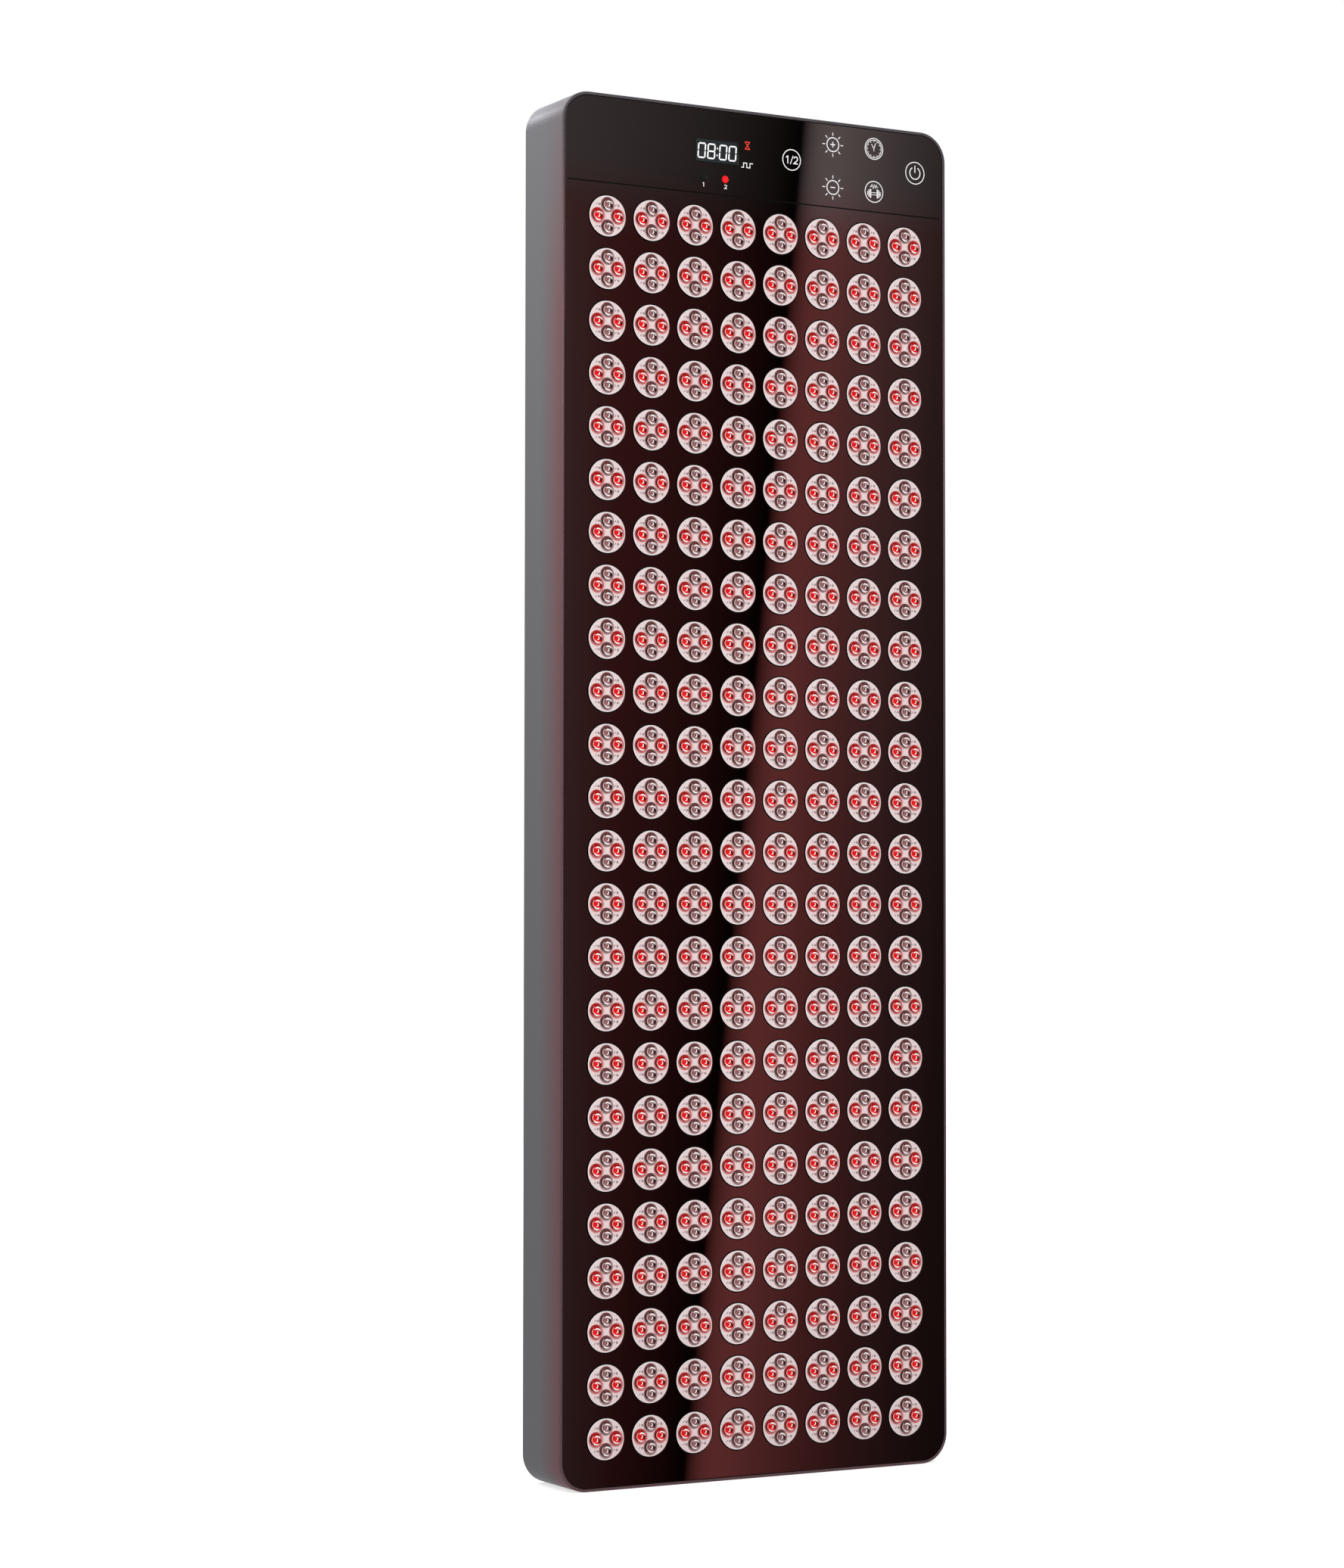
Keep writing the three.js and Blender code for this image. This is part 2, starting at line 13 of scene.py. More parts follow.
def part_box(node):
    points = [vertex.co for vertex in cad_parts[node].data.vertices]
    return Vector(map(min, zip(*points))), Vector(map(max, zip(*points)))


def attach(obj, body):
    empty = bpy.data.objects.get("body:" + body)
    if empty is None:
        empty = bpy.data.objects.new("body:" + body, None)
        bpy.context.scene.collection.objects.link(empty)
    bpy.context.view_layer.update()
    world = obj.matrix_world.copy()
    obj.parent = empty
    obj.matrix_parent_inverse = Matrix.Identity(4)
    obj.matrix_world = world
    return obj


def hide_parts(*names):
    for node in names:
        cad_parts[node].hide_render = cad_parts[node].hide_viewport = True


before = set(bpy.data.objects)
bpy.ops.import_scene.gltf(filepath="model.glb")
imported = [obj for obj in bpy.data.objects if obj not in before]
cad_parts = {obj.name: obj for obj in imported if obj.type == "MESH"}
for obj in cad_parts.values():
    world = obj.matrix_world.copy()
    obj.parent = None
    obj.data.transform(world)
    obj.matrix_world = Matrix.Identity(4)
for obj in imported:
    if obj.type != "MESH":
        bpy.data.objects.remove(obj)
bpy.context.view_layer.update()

bl_info = {
    "name": "Light therapy panel",
    "version": (1, 0, 0),
    "blender": (4, 5, 0),
    "location": "View3D > Sidebar > Light panel",
    "description": "Builds the detailed pieces, finishes and studio of a red light therapy panel",
    "category": "Add Mesh",
}

MM = 0.001


def middle(node):
    """The x, y and z of the middle of a solid's box."""
    return [(low + high) / 2 for low, high in zip(*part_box(node))]


# Places that the solids give
BAND_LOW, BAND_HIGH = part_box("side_frame")
GLASS_LOW, GLASS_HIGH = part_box("front_panel")
COVER_LOW, COVER_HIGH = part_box("back_cover")
WINDOW_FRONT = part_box("display_window")[0].y
ROW_LOW, ROW_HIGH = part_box("led_row_01")
WINDOW_X, _, WINDOW_Z = middle("display_window")
INLET_X, _, INLET_Z = middle("inlet_housing")
WIDTH = BAND_HIGH.x - BAND_LOW.x
HEIGHT = BAND_HIGH.z
MIDDLE = HEIGHT / 2
GLASS_FRONT = GLASS_LOW.y
HEAD_FRONT = ROW_LOW.y
ROWS = [name for name in sorted(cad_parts) if name.startswith("led_row_")]
LOW_ROW_Z = middle(ROWS[-1])[2]
ROW_PITCH = (middle(ROWS[0])[2] - LOW_ROW_Z) / (len(ROWS) - 1)
FAN_HEIGHTS = [middle(f"fan_frame_{number}")[2] for number in (1, 2, 3)]

# Sizes that several pieces share
SHEET_CORNER = 17.7 * MM  # radius of the glass's and the cover's corners, inside the band
CORNER_STEPS = 14
BOARD = 1.6 * MM  # thickness of the boards behind lenses and lamps
LAMP_RADIUS = 2.25 * MM
FAN_SCREW = 35.75 * MM  # from a fan's axis to its screws, both sideways and up
INK_DEPTH = 0.05 * MM  # how far the printed lines reach into what they lie on

CAMERA = (-1.27496, BAND_LOW.y - 2.14304, 0.37537)  # fitted to the lenses' centres
CAMERA_TURN = (92.0, -0.055, -29.407)  # degrees about X, Y and Z
WHITE = (1.0, 1.0, 1.0)


def linear(hex_colour):
    """A hex sRGB colour as the linear numbers that Blender works in."""
    parts = [int(hex_colour[i:i + 2], 16) / 255 for i in (1, 3, 5)]
    return tuple(c / 12.92 if c <= 0.04045 else ((c + 0.055) / 1.055) ** 2.4 for c in parts)


def length(name, description, default):
    return FloatProperty(name=name, description=description, default=default, min=0, unit="LENGTH", precision=5)


def colour(name, description, default):
    return FloatVectorProperty(
        name=name, description=description, default=linear(default), min=0, max=1, size=3, subtype="COLOR")


def power(name, description, default):
    return FloatProperty(name=name, description=description, default=default, min=0, unit="POWER")


class PanelHousingSettings(bpy.types.PropertyGroup):
    """The aluminium band round the panel."""
    corner_radius: length("Corner radius", "Outside radius of the band's four corners", 20 * MM)
    wall: length("Wall", "Thickness of the band", 2 * MM)
    edge_round: length("Edge round", "Radius of the band's outer edges", 0.8 * MM)
    ledge: length("Ledge", "Width of the ledge behind the front glass", 5 * MM)
    flange: length("Flange", "Width of the flange in front of the back cover", 7 * MM)
    grit: length("Grit", "Size of the blasted grain as it is drawn", 0.75 * MM)
    metal: colour("Metal", "Grey anodised aluminium", "#828285")
    # The next colours paint light into the band: a red glow of the lit lenses beside the front, and painted shade on
    # the narrow front face.
    painted_red_glow: colour("Blush", "The metal beside the lit front, warmed by the lamps' glow", "#8b6366")
    rim: colour("Rim", "The narrow front face of the band", "#4e4e52")
    rim_painted_red_glow: colour("Rim blush", "That face beside the lens field", "#745b5f")


class PanelFrontSettings(bpy.types.PropertyGroup):
    """The glass front, with its holes and groove."""
    hole_gap: length("Hole gap", "Open gap round each lens head", 0.6 * MM)
    edge_round: length("Edge round", "Ground edge of the glass and its holes", 0.25 * MM)
    corner_radius: length("Corner radius", "Radius of the glass corners", SHEET_CORNER)
    groove_drop: length("Groove drop", "From the panel's top to the groove under the header", 59 * MM)
    groove_width: length("Groove width", "Width of the groove under the header", 0.8 * MM)
    groove_depth: length("Groove depth", "Depth of the groove", 0.4 * MM)
    groove_margin: length("Groove margin", "From the groove's ends to the glass edge", 2.2 * MM)
    paint: colour("Back paint", "Black paint behind the glass", "#020101")
    # Painted red glow of the lit lenses, put into the glass's reflections; the header's tint is a near-neutral painted
    # reflection level.
    field_painted_glow: colour("Field tint", "Tint of reflections over the lit lens field", "#ff7878")
    header_painted_tint: colour("Header tint", "Tint of reflections in the header", "#f2d4d4")


class PanelLensSettings(bpy.types.PropertyGroup):
    """The lens heads: one moulded disc with four small lenses each."""
    columns: IntProperty(name="Columns", description="Lens heads in a row", default=8, min=1, max=16)
    pitch: length("Column pitch", "Between neighbouring heads in a row", 33.2286 * MM)
    diameter: length("Head diameter", "Across a lens head", 27.03 * MM)
    edge_round: length("Edge round", "Rounded edge of a lens head", 0.25 * MM)
    lip: length("Lip", "Thickness of the head's lip, behind which its neck is narrower", 0.3 * MM)
    neck_step: length("Neck step", "From the lip's edge in to the neck", 1.3 * MM)
    lens_offset: length("Lens offset", "From the head's centre to each small lens", 7.45 * MM)
    collar: length("Collar radius", "Outer radius of a small lens's collar", 5.1 * MM)
    face: colour("Face", "Moulded face of the head", "#ead6d6")
    # The rim is painted near white, brighter than the face, as a highlight on its rounded edge.
    rim: colour("Rim", "Bright edge of the head", "#fbf6f5")
    # Painted pink glow of a lit lens on the face beside it.
    painted_halo: colour("Halo", "The face beside a lit lens", "#f6a3a3")
    # A dark line painted into the groove round each small lens as shade.
    outline: colour("Outline", "Groove around a small lens", "#4e2224")
    # The collars' dark and pale sides are painted shade and painted light; the lit copies carry the same painted
    # shading, reddened by their own lamp.
    dark_collar: colour("Dark collar", "An unlit lens's collar on its dark side", "#643434")
    pale_collar: colour("Pale collar", "An unlit lens's collar on its pale side", "#caa1a1")
    lit_dark_collar: colour("Lit dark collar", "A lit lens's collar on its dark side", "#a40606")
    lit_pale_collar: colour("Lit pale collar", "A lit lens's collar on its pale side", "#ee8c8c")
    dome: colour("Dome", "An unlit lens's dome", "#966565")
    lit_dome: colour("Lit dome", "A lit lens's dome", "#e60808")
    # Rib colours are painted light: bright ones painted highlights, black ones painted reflections of the black front,
    # shaded ones painted shade.
    bright: colour("Bright ribs", "Ribs that catch the light", "#fffafa")
    black: colour("Black ribs", "Ribs that show the black front", "#140607")
    shade: colour("Shaded ribs", "Shaded ribs of an unlit lens", "#2c0e0f")
    lit_shade: colour("Lit shaded ribs", "Shaded ribs of a lit lens", "#660202")
    marks: colour("Board marks", "Small marks seen in the face", "#6a4648")


class PanelHeaderSettings(bpy.types.PropertyGroup):
    """The header: display, touch symbols and indicator lamps."""
    ink_width: length("Line width", "Width of the printed lines", 0.7 * MM)
    ink_height: length("Line height", "How far the printed lines stand on the glass", 0.04 * MM)
    digit_height: length("Digit height", "Height of the display's digits", 10.6 * MM)
    digit_stroke: length("Digit stroke", "Width of the digits' segments", 1.0 * MM)
    ink: colour("Ink", "Printed symbols", "#f4f2f2")
    warm_ink: colour("Warm symbol", "The lit timer symbol", "#e03418")
    window: colour("Window", "Smoked display window", "#182022")
    digits: colour("Digits", "Lit segments", "#ffffff")
    lamp_on: colour("Lamp on", "Lit indicator lamp", "#f0161e")
    lamp_off: colour("Lamp off", "Unlit indicator lamp", "#0d0b0c")


class PanelBackSettings(bpy.types.PropertyGroup):
    """The back: cover, fans, inlet and hangers."""
    slot_count: IntProperty(name="Slots", description="Slots in each fan grille", default=6, min=1, max=12)
    slot_width: length("Slot width", "Width of the grille slots", 6.4 * MM)
    slot_web: length("Slot web", "Metal between neighbouring slots", 4.6 * MM)
    grille_radius: length("Grille radius", "Radius that the slots' ends lie on", 36 * MM)
    vent_count: IntProperty(name="Vents", description="Air slots in each upper group", default=4, min=1, max=12)
    vent_length: length("Vent length", "Length of an upper air slot", 56 * MM)
    vent_width: length("Vent width", "Width of an upper air slot", 5 * MM)
    vent_pitch: length("Vent pitch", "Between neighbouring air slots", 10 * MM)
    vent_drop: length("Vent drop", "From the panel's top to the air slots' middle", 92 * MM)
    vent_x: length("Vent side", "From the centre line to each group's middle", 60 * MM)
    screw_head: length("Screw head", "Diameter of the pan-head screws", 6 * MM)
    bore: length("Fan bore", "Bore of the fan frames", 76 * MM)
    hub: length("Fan hub", "Diameter of the fan hubs", 34 * MM)
    blades: IntProperty(name="Blades", description="Blades of each fan", default=7, min=3, max=13)
    eye: length("Hanger eye", "Diameter of the hangers' eyes", 8 * MM)
    paint: colour("Cover paint", "Powder coat of the back cover", "#1d1d1f")
    plastic: colour("Plastic", "Black moulded plastic", "#161617")
    zinc: colour("Zinc", "Zinc plated steel", "#b4b7ba")
    rocker: colour("Rocker", "Red switch rocker", "#b01218")


class PanelStudioSettings(bpy.types.PropertyGroup):
    """Floor, lamps and camera."""
    ambient: FloatProperty(name="Ambient", description="Strength of the world on matt surfaces", default=0.62, min=0)
    key_power: power("Key power", "Watts of the key softbox", 38)
    top_power: power("Top power", "Watts of the top softbox", 14)
    rear_power: power("Rear power", "Watts of the rear softbox", 13)
    edge_power: power("Edge power", "Watts of the small softbox behind, which draws a streak on the band's corner", 7)
    floor: colour("Floor", "Matt floor", "#f2f2f2")
    lens_length: FloatProperty(name="Focal length", description="Camera lens in millimetres", default=85.41, min=1)


# ---------------------------------------------------------------- nodes and materials

def add(owner, kind, inputs=None, **settings):
    """Adds a node to a material or world with its settings, and sets or links its inputs. A node given for an input
    stands for the first of its sockets that is in use."""
    tree = owner.node_tree
    made = tree.nodes.new("ShaderNode" + kind)
    for name, value in settings.items():
        setattr(made, name, value)
    for name, value in (inputs or {}).items():
        socket = made.inputs[name]
        if isinstance(value, bpy.types.Node):
            value = next(output for output in value.outputs if output.enabled)
        if isinstance(value, bpy.types.NodeSocket):
            tree.links.new(value, socket)
        else:
            socket.default_value = (*value, 1.0) if socket.type == "RGBA" else value
    return made


def emptied(owner):
    """A material or world, given an empty node tree."""
    owner.use_nodes = True
    owner.node_tree.nodes.clear()
    return owner


def patterned(name):
    """An empty material, and the coordinates that its pattern follows."""
    material = emptied(bpy.data.materials.new(name))
    return material, add(material, "TexCoord").outputs["Object"]


def surface(material, inputs, kind="BsdfPrincipled"):
    """Puts a shader on the material's surface, and gives the material back."""
    add(material, "OutputMaterial", {"Surface": add(material, kind, inputs)})
    return material


def span(value, start, end, low=0.0, high=1.0):
    """The inputs of a Map Range node that goes from low to high while its value goes from start to end."""
    return {"Value": value, "From Min": start, "From Max": end, "To Min": low, "To Max": high}


GRAIN = (0.3, 0.7)  # where nearly all values of a noise lie
TIMES = {"data_type": "RGBA", "blend_type": "MULTIPLY"}  # settings of a Mix node that multiplies colours


def mottled(m, base, grain, low, high):
    """The base colour, times a level that goes from low to high as the grain does."""
    tone = add(m, "MapRange", span(grain, *GRAIN, low, high))
    return add(m, "Mix", {"Factor": 1.0, "A": base, "B": tone}, **TIMES)


def blasted_aluminium(s):
    """Aluminium, bead blasted and grey anodised: an even satin sheen with a fine sparkle-free grain.
    Beside the lit front the grey takes a painted red glow of the lenses, its front face is painted darker as shade, and
    its colour is painted darker towards the floor as shade; the anodic film dulls its grazing shine."""
    m, place = patterned("aluminium_bead_blasted_grey_anodised")
    film = (0.68, 0.68, 0.7)
    # Real blasting grit is about 0.2 mm; it is drawn several times as coarse, because it would not show otherwise.
    grain = add(m, "TexNoise", {"Vector": place, "Scale": 1 / s.grit, "Detail": 3.0, "Roughness": 0.6})
    _, y, z = add(m, "SeparateXYZ", {"Vector": place}).outputs
    # Painted red glow of the lit lenses on the metal near the front, weaker towards the header.
    near = add(m, "MapRange", span(y, BAND_LOW.y + 30 * MM, BAND_LOW.y))
    low = add(m, "MapRange", span(z, HEIGHT - 10 * MM, HEIGHT - 150 * MM, 0.15))
    glow = add(m, "Math", {0: near, 1: low}, operation="MULTIPLY")
    tone = add(m, "Mix", {"Factor": glow, "A": s.metal, "B": s.painted_red_glow}, data_type="RGBA")
    # The machined front face is painted darker than the blasted sides as shade, and beside the lens field it takes the
    # painted red glow as well.
    facing = add(m, "MapRange", span(y, BAND_LOW.y + 0.9 * MM, BAND_LOW.y + 0.3 * MM))
    front = add(m, "Mix", {"Factor": low, "A": s.rim, "B": s.rim_painted_red_glow}, data_type="RGBA")
    rimmed = add(m, "Mix", {"Factor": facing, "A": tone, "B": front}, data_type="RGBA")
    # Painted shade: the colour is darkened towards the floor, where the sheen falls off.
    up = add(m, "MapRange", span(z, 150 * MM, HEIGHT))
    bent = add(m, "Math", {0: up, 1: 1.6}, operation="POWER")
    painted_shade_fall = add(m, "MapRange", span(bent, 0.0, 1.0, 0.6))
    speckle = add(m, "MapRange", span(grain, *GRAIN, 0.77, 1.21))
    level = add(m, "Math", {0: painted_shade_fall, 1: speckle}, operation="MULTIPLY")
    grey = add(m, "Mix", {"Factor": 1.0, "A": rimmed, "B": level}, **TIMES)
    rough = add(m, "MapRange", span(grain, *GRAIN, 0.40, 0.50))
    bump = add(m, "Bump", {"Height": grain, "Strength": 0.25, "Distance": 0.06 * MM})
    return surface(m, {
        "Base Color": grey, "Metallic": 1.0, "Roughness": rough, "Specular Tint": film, "Normal": bump})


def painted_glass(s):
    """Soda-lime glass, tempered and painted black on its back: a deep mirror gloss that shows the room at a few per
    cent, its reflections tinted with a painted red glow of the lit lenses over the lens field, and almost neutral in
    the header."""
    m, place = patterned("glass_tempered_back_painted")
    x, _, z = add(m, "SeparateXYZ", {"Vector": place}).outputs
    header = add(m, "MapRange", span(z, HEIGHT - 100 * MM, HEIGHT - 36 * MM), interpolation_type="SMOOTHSTEP")
    side = add(m, "Math", {0: x}, operation="ABSOLUTE")
    edge = add(m, "MapRange", span(side, WIDTH / 2 - 40 * MM, WIDTH / 2, 0.0, 0.5))
    right = add(m, "MapRange", span(x, 50 * MM, WIDTH / 2, 0.0, 0.5))
    sides = add(m, "Math", {0: right, 1: edge}, operation="MAXIMUM")
    pale = add(m, "Math", {0: header, 1: sides}, operation="MAXIMUM")
    tint = add(m, "Mix", {"Factor": pale, "A": s.field_painted_glow, "B": s.header_painted_tint}, data_type="RGBA")
    # Roller waves of tempered glass are some 0.3 m long; they only bend long reflections a little.
    waves = add(m, "TexNoise", {"Vector": place, "Scale": 6.0, "Detail": 0.0})
    bump = add(m, "Bump", {"Height": waves, "Strength": 0.1, "Distance": 0.2 * MM})
    return surface(m, {
        "Base Color": s.paint, "Roughness": 0.012, "IOR": 1.5, "Specular Tint": tint, "Normal": bump})


def moulded_plastic(name, base, roughness=0.4, texture=0.6 * MM, depth=0.02 * MM):
    """A moulded plastic with a spark-eroded texture: a soft, slightly uneven gloss.
    The texture's real grain is about 0.1 mm; it is drawn coarser, so that it shows."""
    m, place = patterned(name)
    grain = add(m, "TexNoise", {"Vector": place, "Scale": 1 / texture, "Detail": 2.0})
    shade = mottled(m, base, grain, 0.88, 1.12)
    rough = add(m, "MapRange", span(grain, *GRAIN, roughness - 0.04, roughness + 0.06))
    bump = add(m, "Bump", {"Height": grain, "Strength": 0.4, "Distance": depth})
    return surface(m, {"Base Color": shade, "Roughness": rough, "IOR": 1.5, "Normal": bump})


def painted_shade_black(name):
    """A ground groove or a lens head's neck, drawn nearly black as painted shade: it swallows light, with only a trace
    of tooth.
    The tooth is some 0.1 mm; it is drawn at 0.8 mm."""
    m, place = patterned(name)
    tooth = add(m, "TexNoise", {"Vector": place, "Scale": 1 / (0.8 * MM), "Detail": 2.0})
    tone = add(m, "MapRange", span(tooth, *GRAIN, 0.002, 0.005))
    return surface(m, {"Base Color": tone, "Roughness": 0.8, "IOR": 1.5, "Specular IOR Level": 0.08})


def powder_coat(s):
    """Sheet steel, powder coated fine-texture black: matt, with a pebbled skin that breaks up every highlight."""
    m, place = patterned("steel_sheet_powder_coated_black")
    # The pebbles of a fine-texture coat are 0.3 to 0.5 mm; they are drawn at 0.9 mm, so that they show.
    pebbles = add(m, "TexVoronoi", {"Vector": place, "Scale": 1 / (0.9 * MM), "Randomness": 1.0}, feature="SMOOTH_F1")
    cloud = add(m, "TexNoise", {"Vector": place, "Scale": 18.0, "Detail": 3.0})
    tone = add(m, "MapRange", span(cloud, *GRAIN, 0.9, 1.15))
    grit = add(m, "MapRange", span(pebbles, 0.0, 0.8, 1.12, 0.82))
    both = add(m, "Math", {0: tone, 1: grit}, operation="MULTIPLY")
    shade = add(m, "Mix", {"Factor": 1.0, "A": s.paint, "B": both}, **TIMES)
    bump = add(m, "Bump", {"Height": pebbles, "Strength": 0.9, "Distance": 0.1 * MM})
    return surface(m, {"Base Color": shade, "Roughness": 0.52, "IOR": 1.5, "Normal": bump})


def plated_metal(name, base, roughness, spangle, stretch=(1.0, 1.0, 1.0)):
    """A metal with plating or drawing marks: its colour and gloss change a little from patch to patch."""
    m, place = patterned(name)
    stretched = add(m, "Mapping", {"Vector": place, "Scale": stretch})
    patches = add(m, "TexNoise", {"Vector": stretched, "Scale": 1 / spangle, "Detail": 3.0})
    shade = mottled(m, base, patches, 0.88, 1.05)
    rough = add(m, "MapRange", span(patches, *GRAIN, roughness - 0.06, roughness + 0.08))
    bump = add(m, "Bump", {"Height": patches, "Strength": 0.15, "Distance": 0.02 * MM})
    return surface(m, {"Base Color": shade, "Metallic": 1.0, "Roughness": rough, "Normal": bump})


def glass_fibre_board():
    """FR4 laminate under green solder mask: a satin green with the faint weave of its glass cloth, 0.5 mm between
    threads, drawn at 1 mm."""
    m, place = patterned("glass_fibre_board_green_mask")
    across, along = (add(m, "TexWave", {"Vector": place, "Scale": 1 / (20 * MM), "Distortion": 0.4},
                         bands_direction=axis).outputs["Fac"] for axis in "XZ")
    weave = add(m, "Math", {0: across, 1: along}, operation="MULTIPLY")
    shade = add(m, "Mix", {"Factor": weave, "A": linear("#153d22"), "B": linear("#1f5230")}, data_type="RGBA")
    return surface(m, {"Base Color": shade, "Roughness": 0.35, "IOR": 1.5})


def head_face(s):
    """Polycarbonate, injection moulded and polished, over a white board: a milky disc with a faint mottle, and a
    painted pink glow beside the two lit lenses."""
    m, place = patterned("polycarbonate_moulded_head_face")
    x, _, z = add(m, "SeparateXYZ", {"Vector": place}).outputs
    # Each head repeats at the column pitch; folding its own X gives the distance to its nearest lit lens.
    cell = add(m, "Math", {0: x, 1: s.pitch, 2: 0.0}, operation="WRAP")
    folded = add(m, "Math", {0: cell, 1: s.pitch / 2}, operation="SUBTRACT")
    flat = add(m, "CombineXYZ", {"X": folded, "Y": z})
    # The painted glow leaves each lit lens to its right, so the pink ring is set off that way.
    left, right = (add(m, "VectorMath", {0: flat, 1: (side * s.lens_offset + 0.5 * MM, 0.0, 0.0)},
                       operation="DISTANCE") for side in (-1, 1))
    reach = add(m, "Math", {0: left, 1: right}, operation="MINIMUM")
    painted_halo = add(m, "MapRange", span(reach, s.collar, s.collar + 1.3 * MM, 0.6, 0.0), interpolation_type="SMOOTHSTEP")
    mottle = add(m, "TexNoise", {"Vector": place, "Scale": 1 / (2.2 * MM), "Detail": 2.0})
    milky = mottled(m, s.face, mottle, 0.93, 1.03)
    shade = add(m, "Mix", {"Factor": painted_halo, "A": milky, "B": s.painted_halo}, data_type="RGBA")
    return surface(m, {"Base Color": shade, "Roughness": 0.16, "IOR": 1.58})


def clear_plastic(name, dark, pale=None, glow=0.0):
    """Polycarbonate or epoxy, moulded clear, under a low gloss: where it has two colours it is painted dark as shade
    where it faces up to the black front, and painted pale as light towards its lower right."""
    m = emptied(bpy.data.materials.new(name))
    side = add(m, "Attribute", attribute_name="painted_light_side").outputs["Fac"]
    tone = add(m, "FloatCurve", {"Value": side})
    points = tone.mapping.curves[0].points
    places = (0.05, 0.0), (0.3, 0.35), (0.7, 1.0), (0.95, 0.6)  # from the dark side to the pale one
    for _ in places[2:]:
        points.new(0.5, 0.5)
    for point, place in zip(points, places):
        point.location = place
    tone.mapping.update()
    shade = add(m, "Mix", {"Factor": tone, "A": dark, "B": dark if pale is None else pale}, data_type="RGBA")
    return surface(m, {
        "Base Color": shade, "Roughness": 0.16, "IOR": 1.5, "Specular IOR Level": 0.12,
        "Emission Color": shade, "Emission Strength": glow})


def clear_dome(name, base, glow, roughness, gloss=0.5):
    """A clear or smoked plastic, cast or moulded thick: a wet-looking body in its own colour, deeper at its edge."""
    m = emptied(bpy.data.materials.new(name))
    facing = add(m, "LayerWeight", {"Blend": 0.35}).outputs["Facing"]
    deep = [part * 0.45 for part in base]
    shade = add(m, "Mix", {"Factor": facing, "A": base, "B": deep}, data_type="RGBA")
    return surface(m, {
        "Base Color": shade, "Roughness": roughness, "IOR": 1.5, "Specular IOR Level": gloss,
        "Emission Color": base, "Emission Strength": glow})


def screen_ink(name, base, glow=0.0):
    """Ceramic ink, screen printed and fired on the glass: a flat satin line with the mesh's slight unevenness.
    The screen's threads are 0.1 mm apart; the unevenness is drawn at 0.5 mm."""
    m, place = patterned(name)
    cells = add(m, "TexNoise", {"Vector": place, "Scale": 1 / (0.5 * MM), "Detail": 1.0})
    return surface(m, {
        "Base Color": mottled(m, base, cells, 0.9, 1.0), "Roughness": 0.35, "IOR": 1.5,
        "Emission Color": base, "Emission Strength": glow})


# ---------------------------------------------------------------- outlines, as lists of (x, z)

def arc(radius, start, end, steps, x, z):
    """Points on an arc; angles in degrees from +X towards +Z."""
    return [(x + radius * math.cos(math.radians(a)), z + radius * math.sin(math.radians(a)))
            for a in (start + (end - start) * i / steps for i in range(steps + 1))]


def circle(radius, sides, x, z=0.0):
    return [(x + radius * math.cos(a), z + radius * math.sin(a))
            for a in (2 * math.pi * (i + 0.5) / sides for i in range(sides))]


def rounded(width, height, radius, steps, x=0.0, z=0.0):
    """A rectangle with rounded corners, anticlockwise."""
    points = []
    for quarter, (u, v) in enumerate(((1, 1), (-1, 1), (-1, -1), (1, -1))):
        points += arc(radius, 90 * quarter, 90 * (quarter + 1), steps,
                      x + u * (width / 2 - radius), z + v * (height / 2 - radius))
    return points


def box_outline(node, radius, steps, gap=0.0):
    """The outline of a solid's box from the front, with rounded corners and a gap round it."""
    low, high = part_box(node)
    x, _, z = middle(node)
    return rounded(high.x - low.x + 2 * gap, high.z - low.z + 2 * gap, radius, steps, x, z)


def fan_screws(z):
    """Where the four screws of the fan at height z are."""
    return [(u * FAN_SCREW, z + v * FAN_SCREW) for u in (-1, 1) for v in (-1, 1)]


def broken_edge(radius, steps):
    """A rounded edge, from the face to the side: how far in and how deep each of its points lies."""
    return [(radius * (1 - math.sin(a)), radius * (1 - math.cos(a)))
            for a in (math.pi / 2 * i / steps for i in range(steps + 1))]


def grown(points, distance):
    """The outline moved outwards by a distance, with mitred corners."""
    after = points[1:] + points[:1]
    area = sum(a[0] * b[1] - b[0] * a[1] for a, b in zip(points, after))
    turn = 1 if area > 0 else -1
    moved = []
    for i, point in enumerate(points):
        sides = Vector(point) - Vector(points[i - 1]), Vector(after[i]) - Vector(point)
        miter = sum((Vector((d.y, -d.x)).normalized() * turn for d in sides), Vector((0.0, 0.0)))
        moved.append(tuple(Vector(point) + miter * (2 / max(miter.length_squared, 0.5)) * distance))
    return moved


def spaced(count, pitch, about=0.0):
    """Places at an even pitch about a middle."""
    return [about + (i - (count - 1) / 2) * pitch for i in range(count)]


# ---------------------------------------------------------------- meshes

def ring_of(bm, points, y):
    return [bm.verts.new((x, y, z)) for x, z in points]


def skin(bm, rings, materials=0, start=False, end=False, smooth=True):
    """Quads between neighbouring rings of as many points, in one material or in one for each step, and a face on the
    first and on the last ring if asked."""
    if isinstance(materials, int):
        materials = [materials] * len(rings)
    for material, first, second in zip(materials, rings, rings[1:]):
        for i in range(len(first)):
            face = bm.faces.new((first[i - 1], first[i], second[i], second[i - 1]))
            face.material_index, face.smooth = material, smooth
    for ring, material, wanted in ((rings[0], materials[0], start), (rings[-1], materials[-1], end)):
        if wanted:
            bm.faces.new(ring).material_index = material


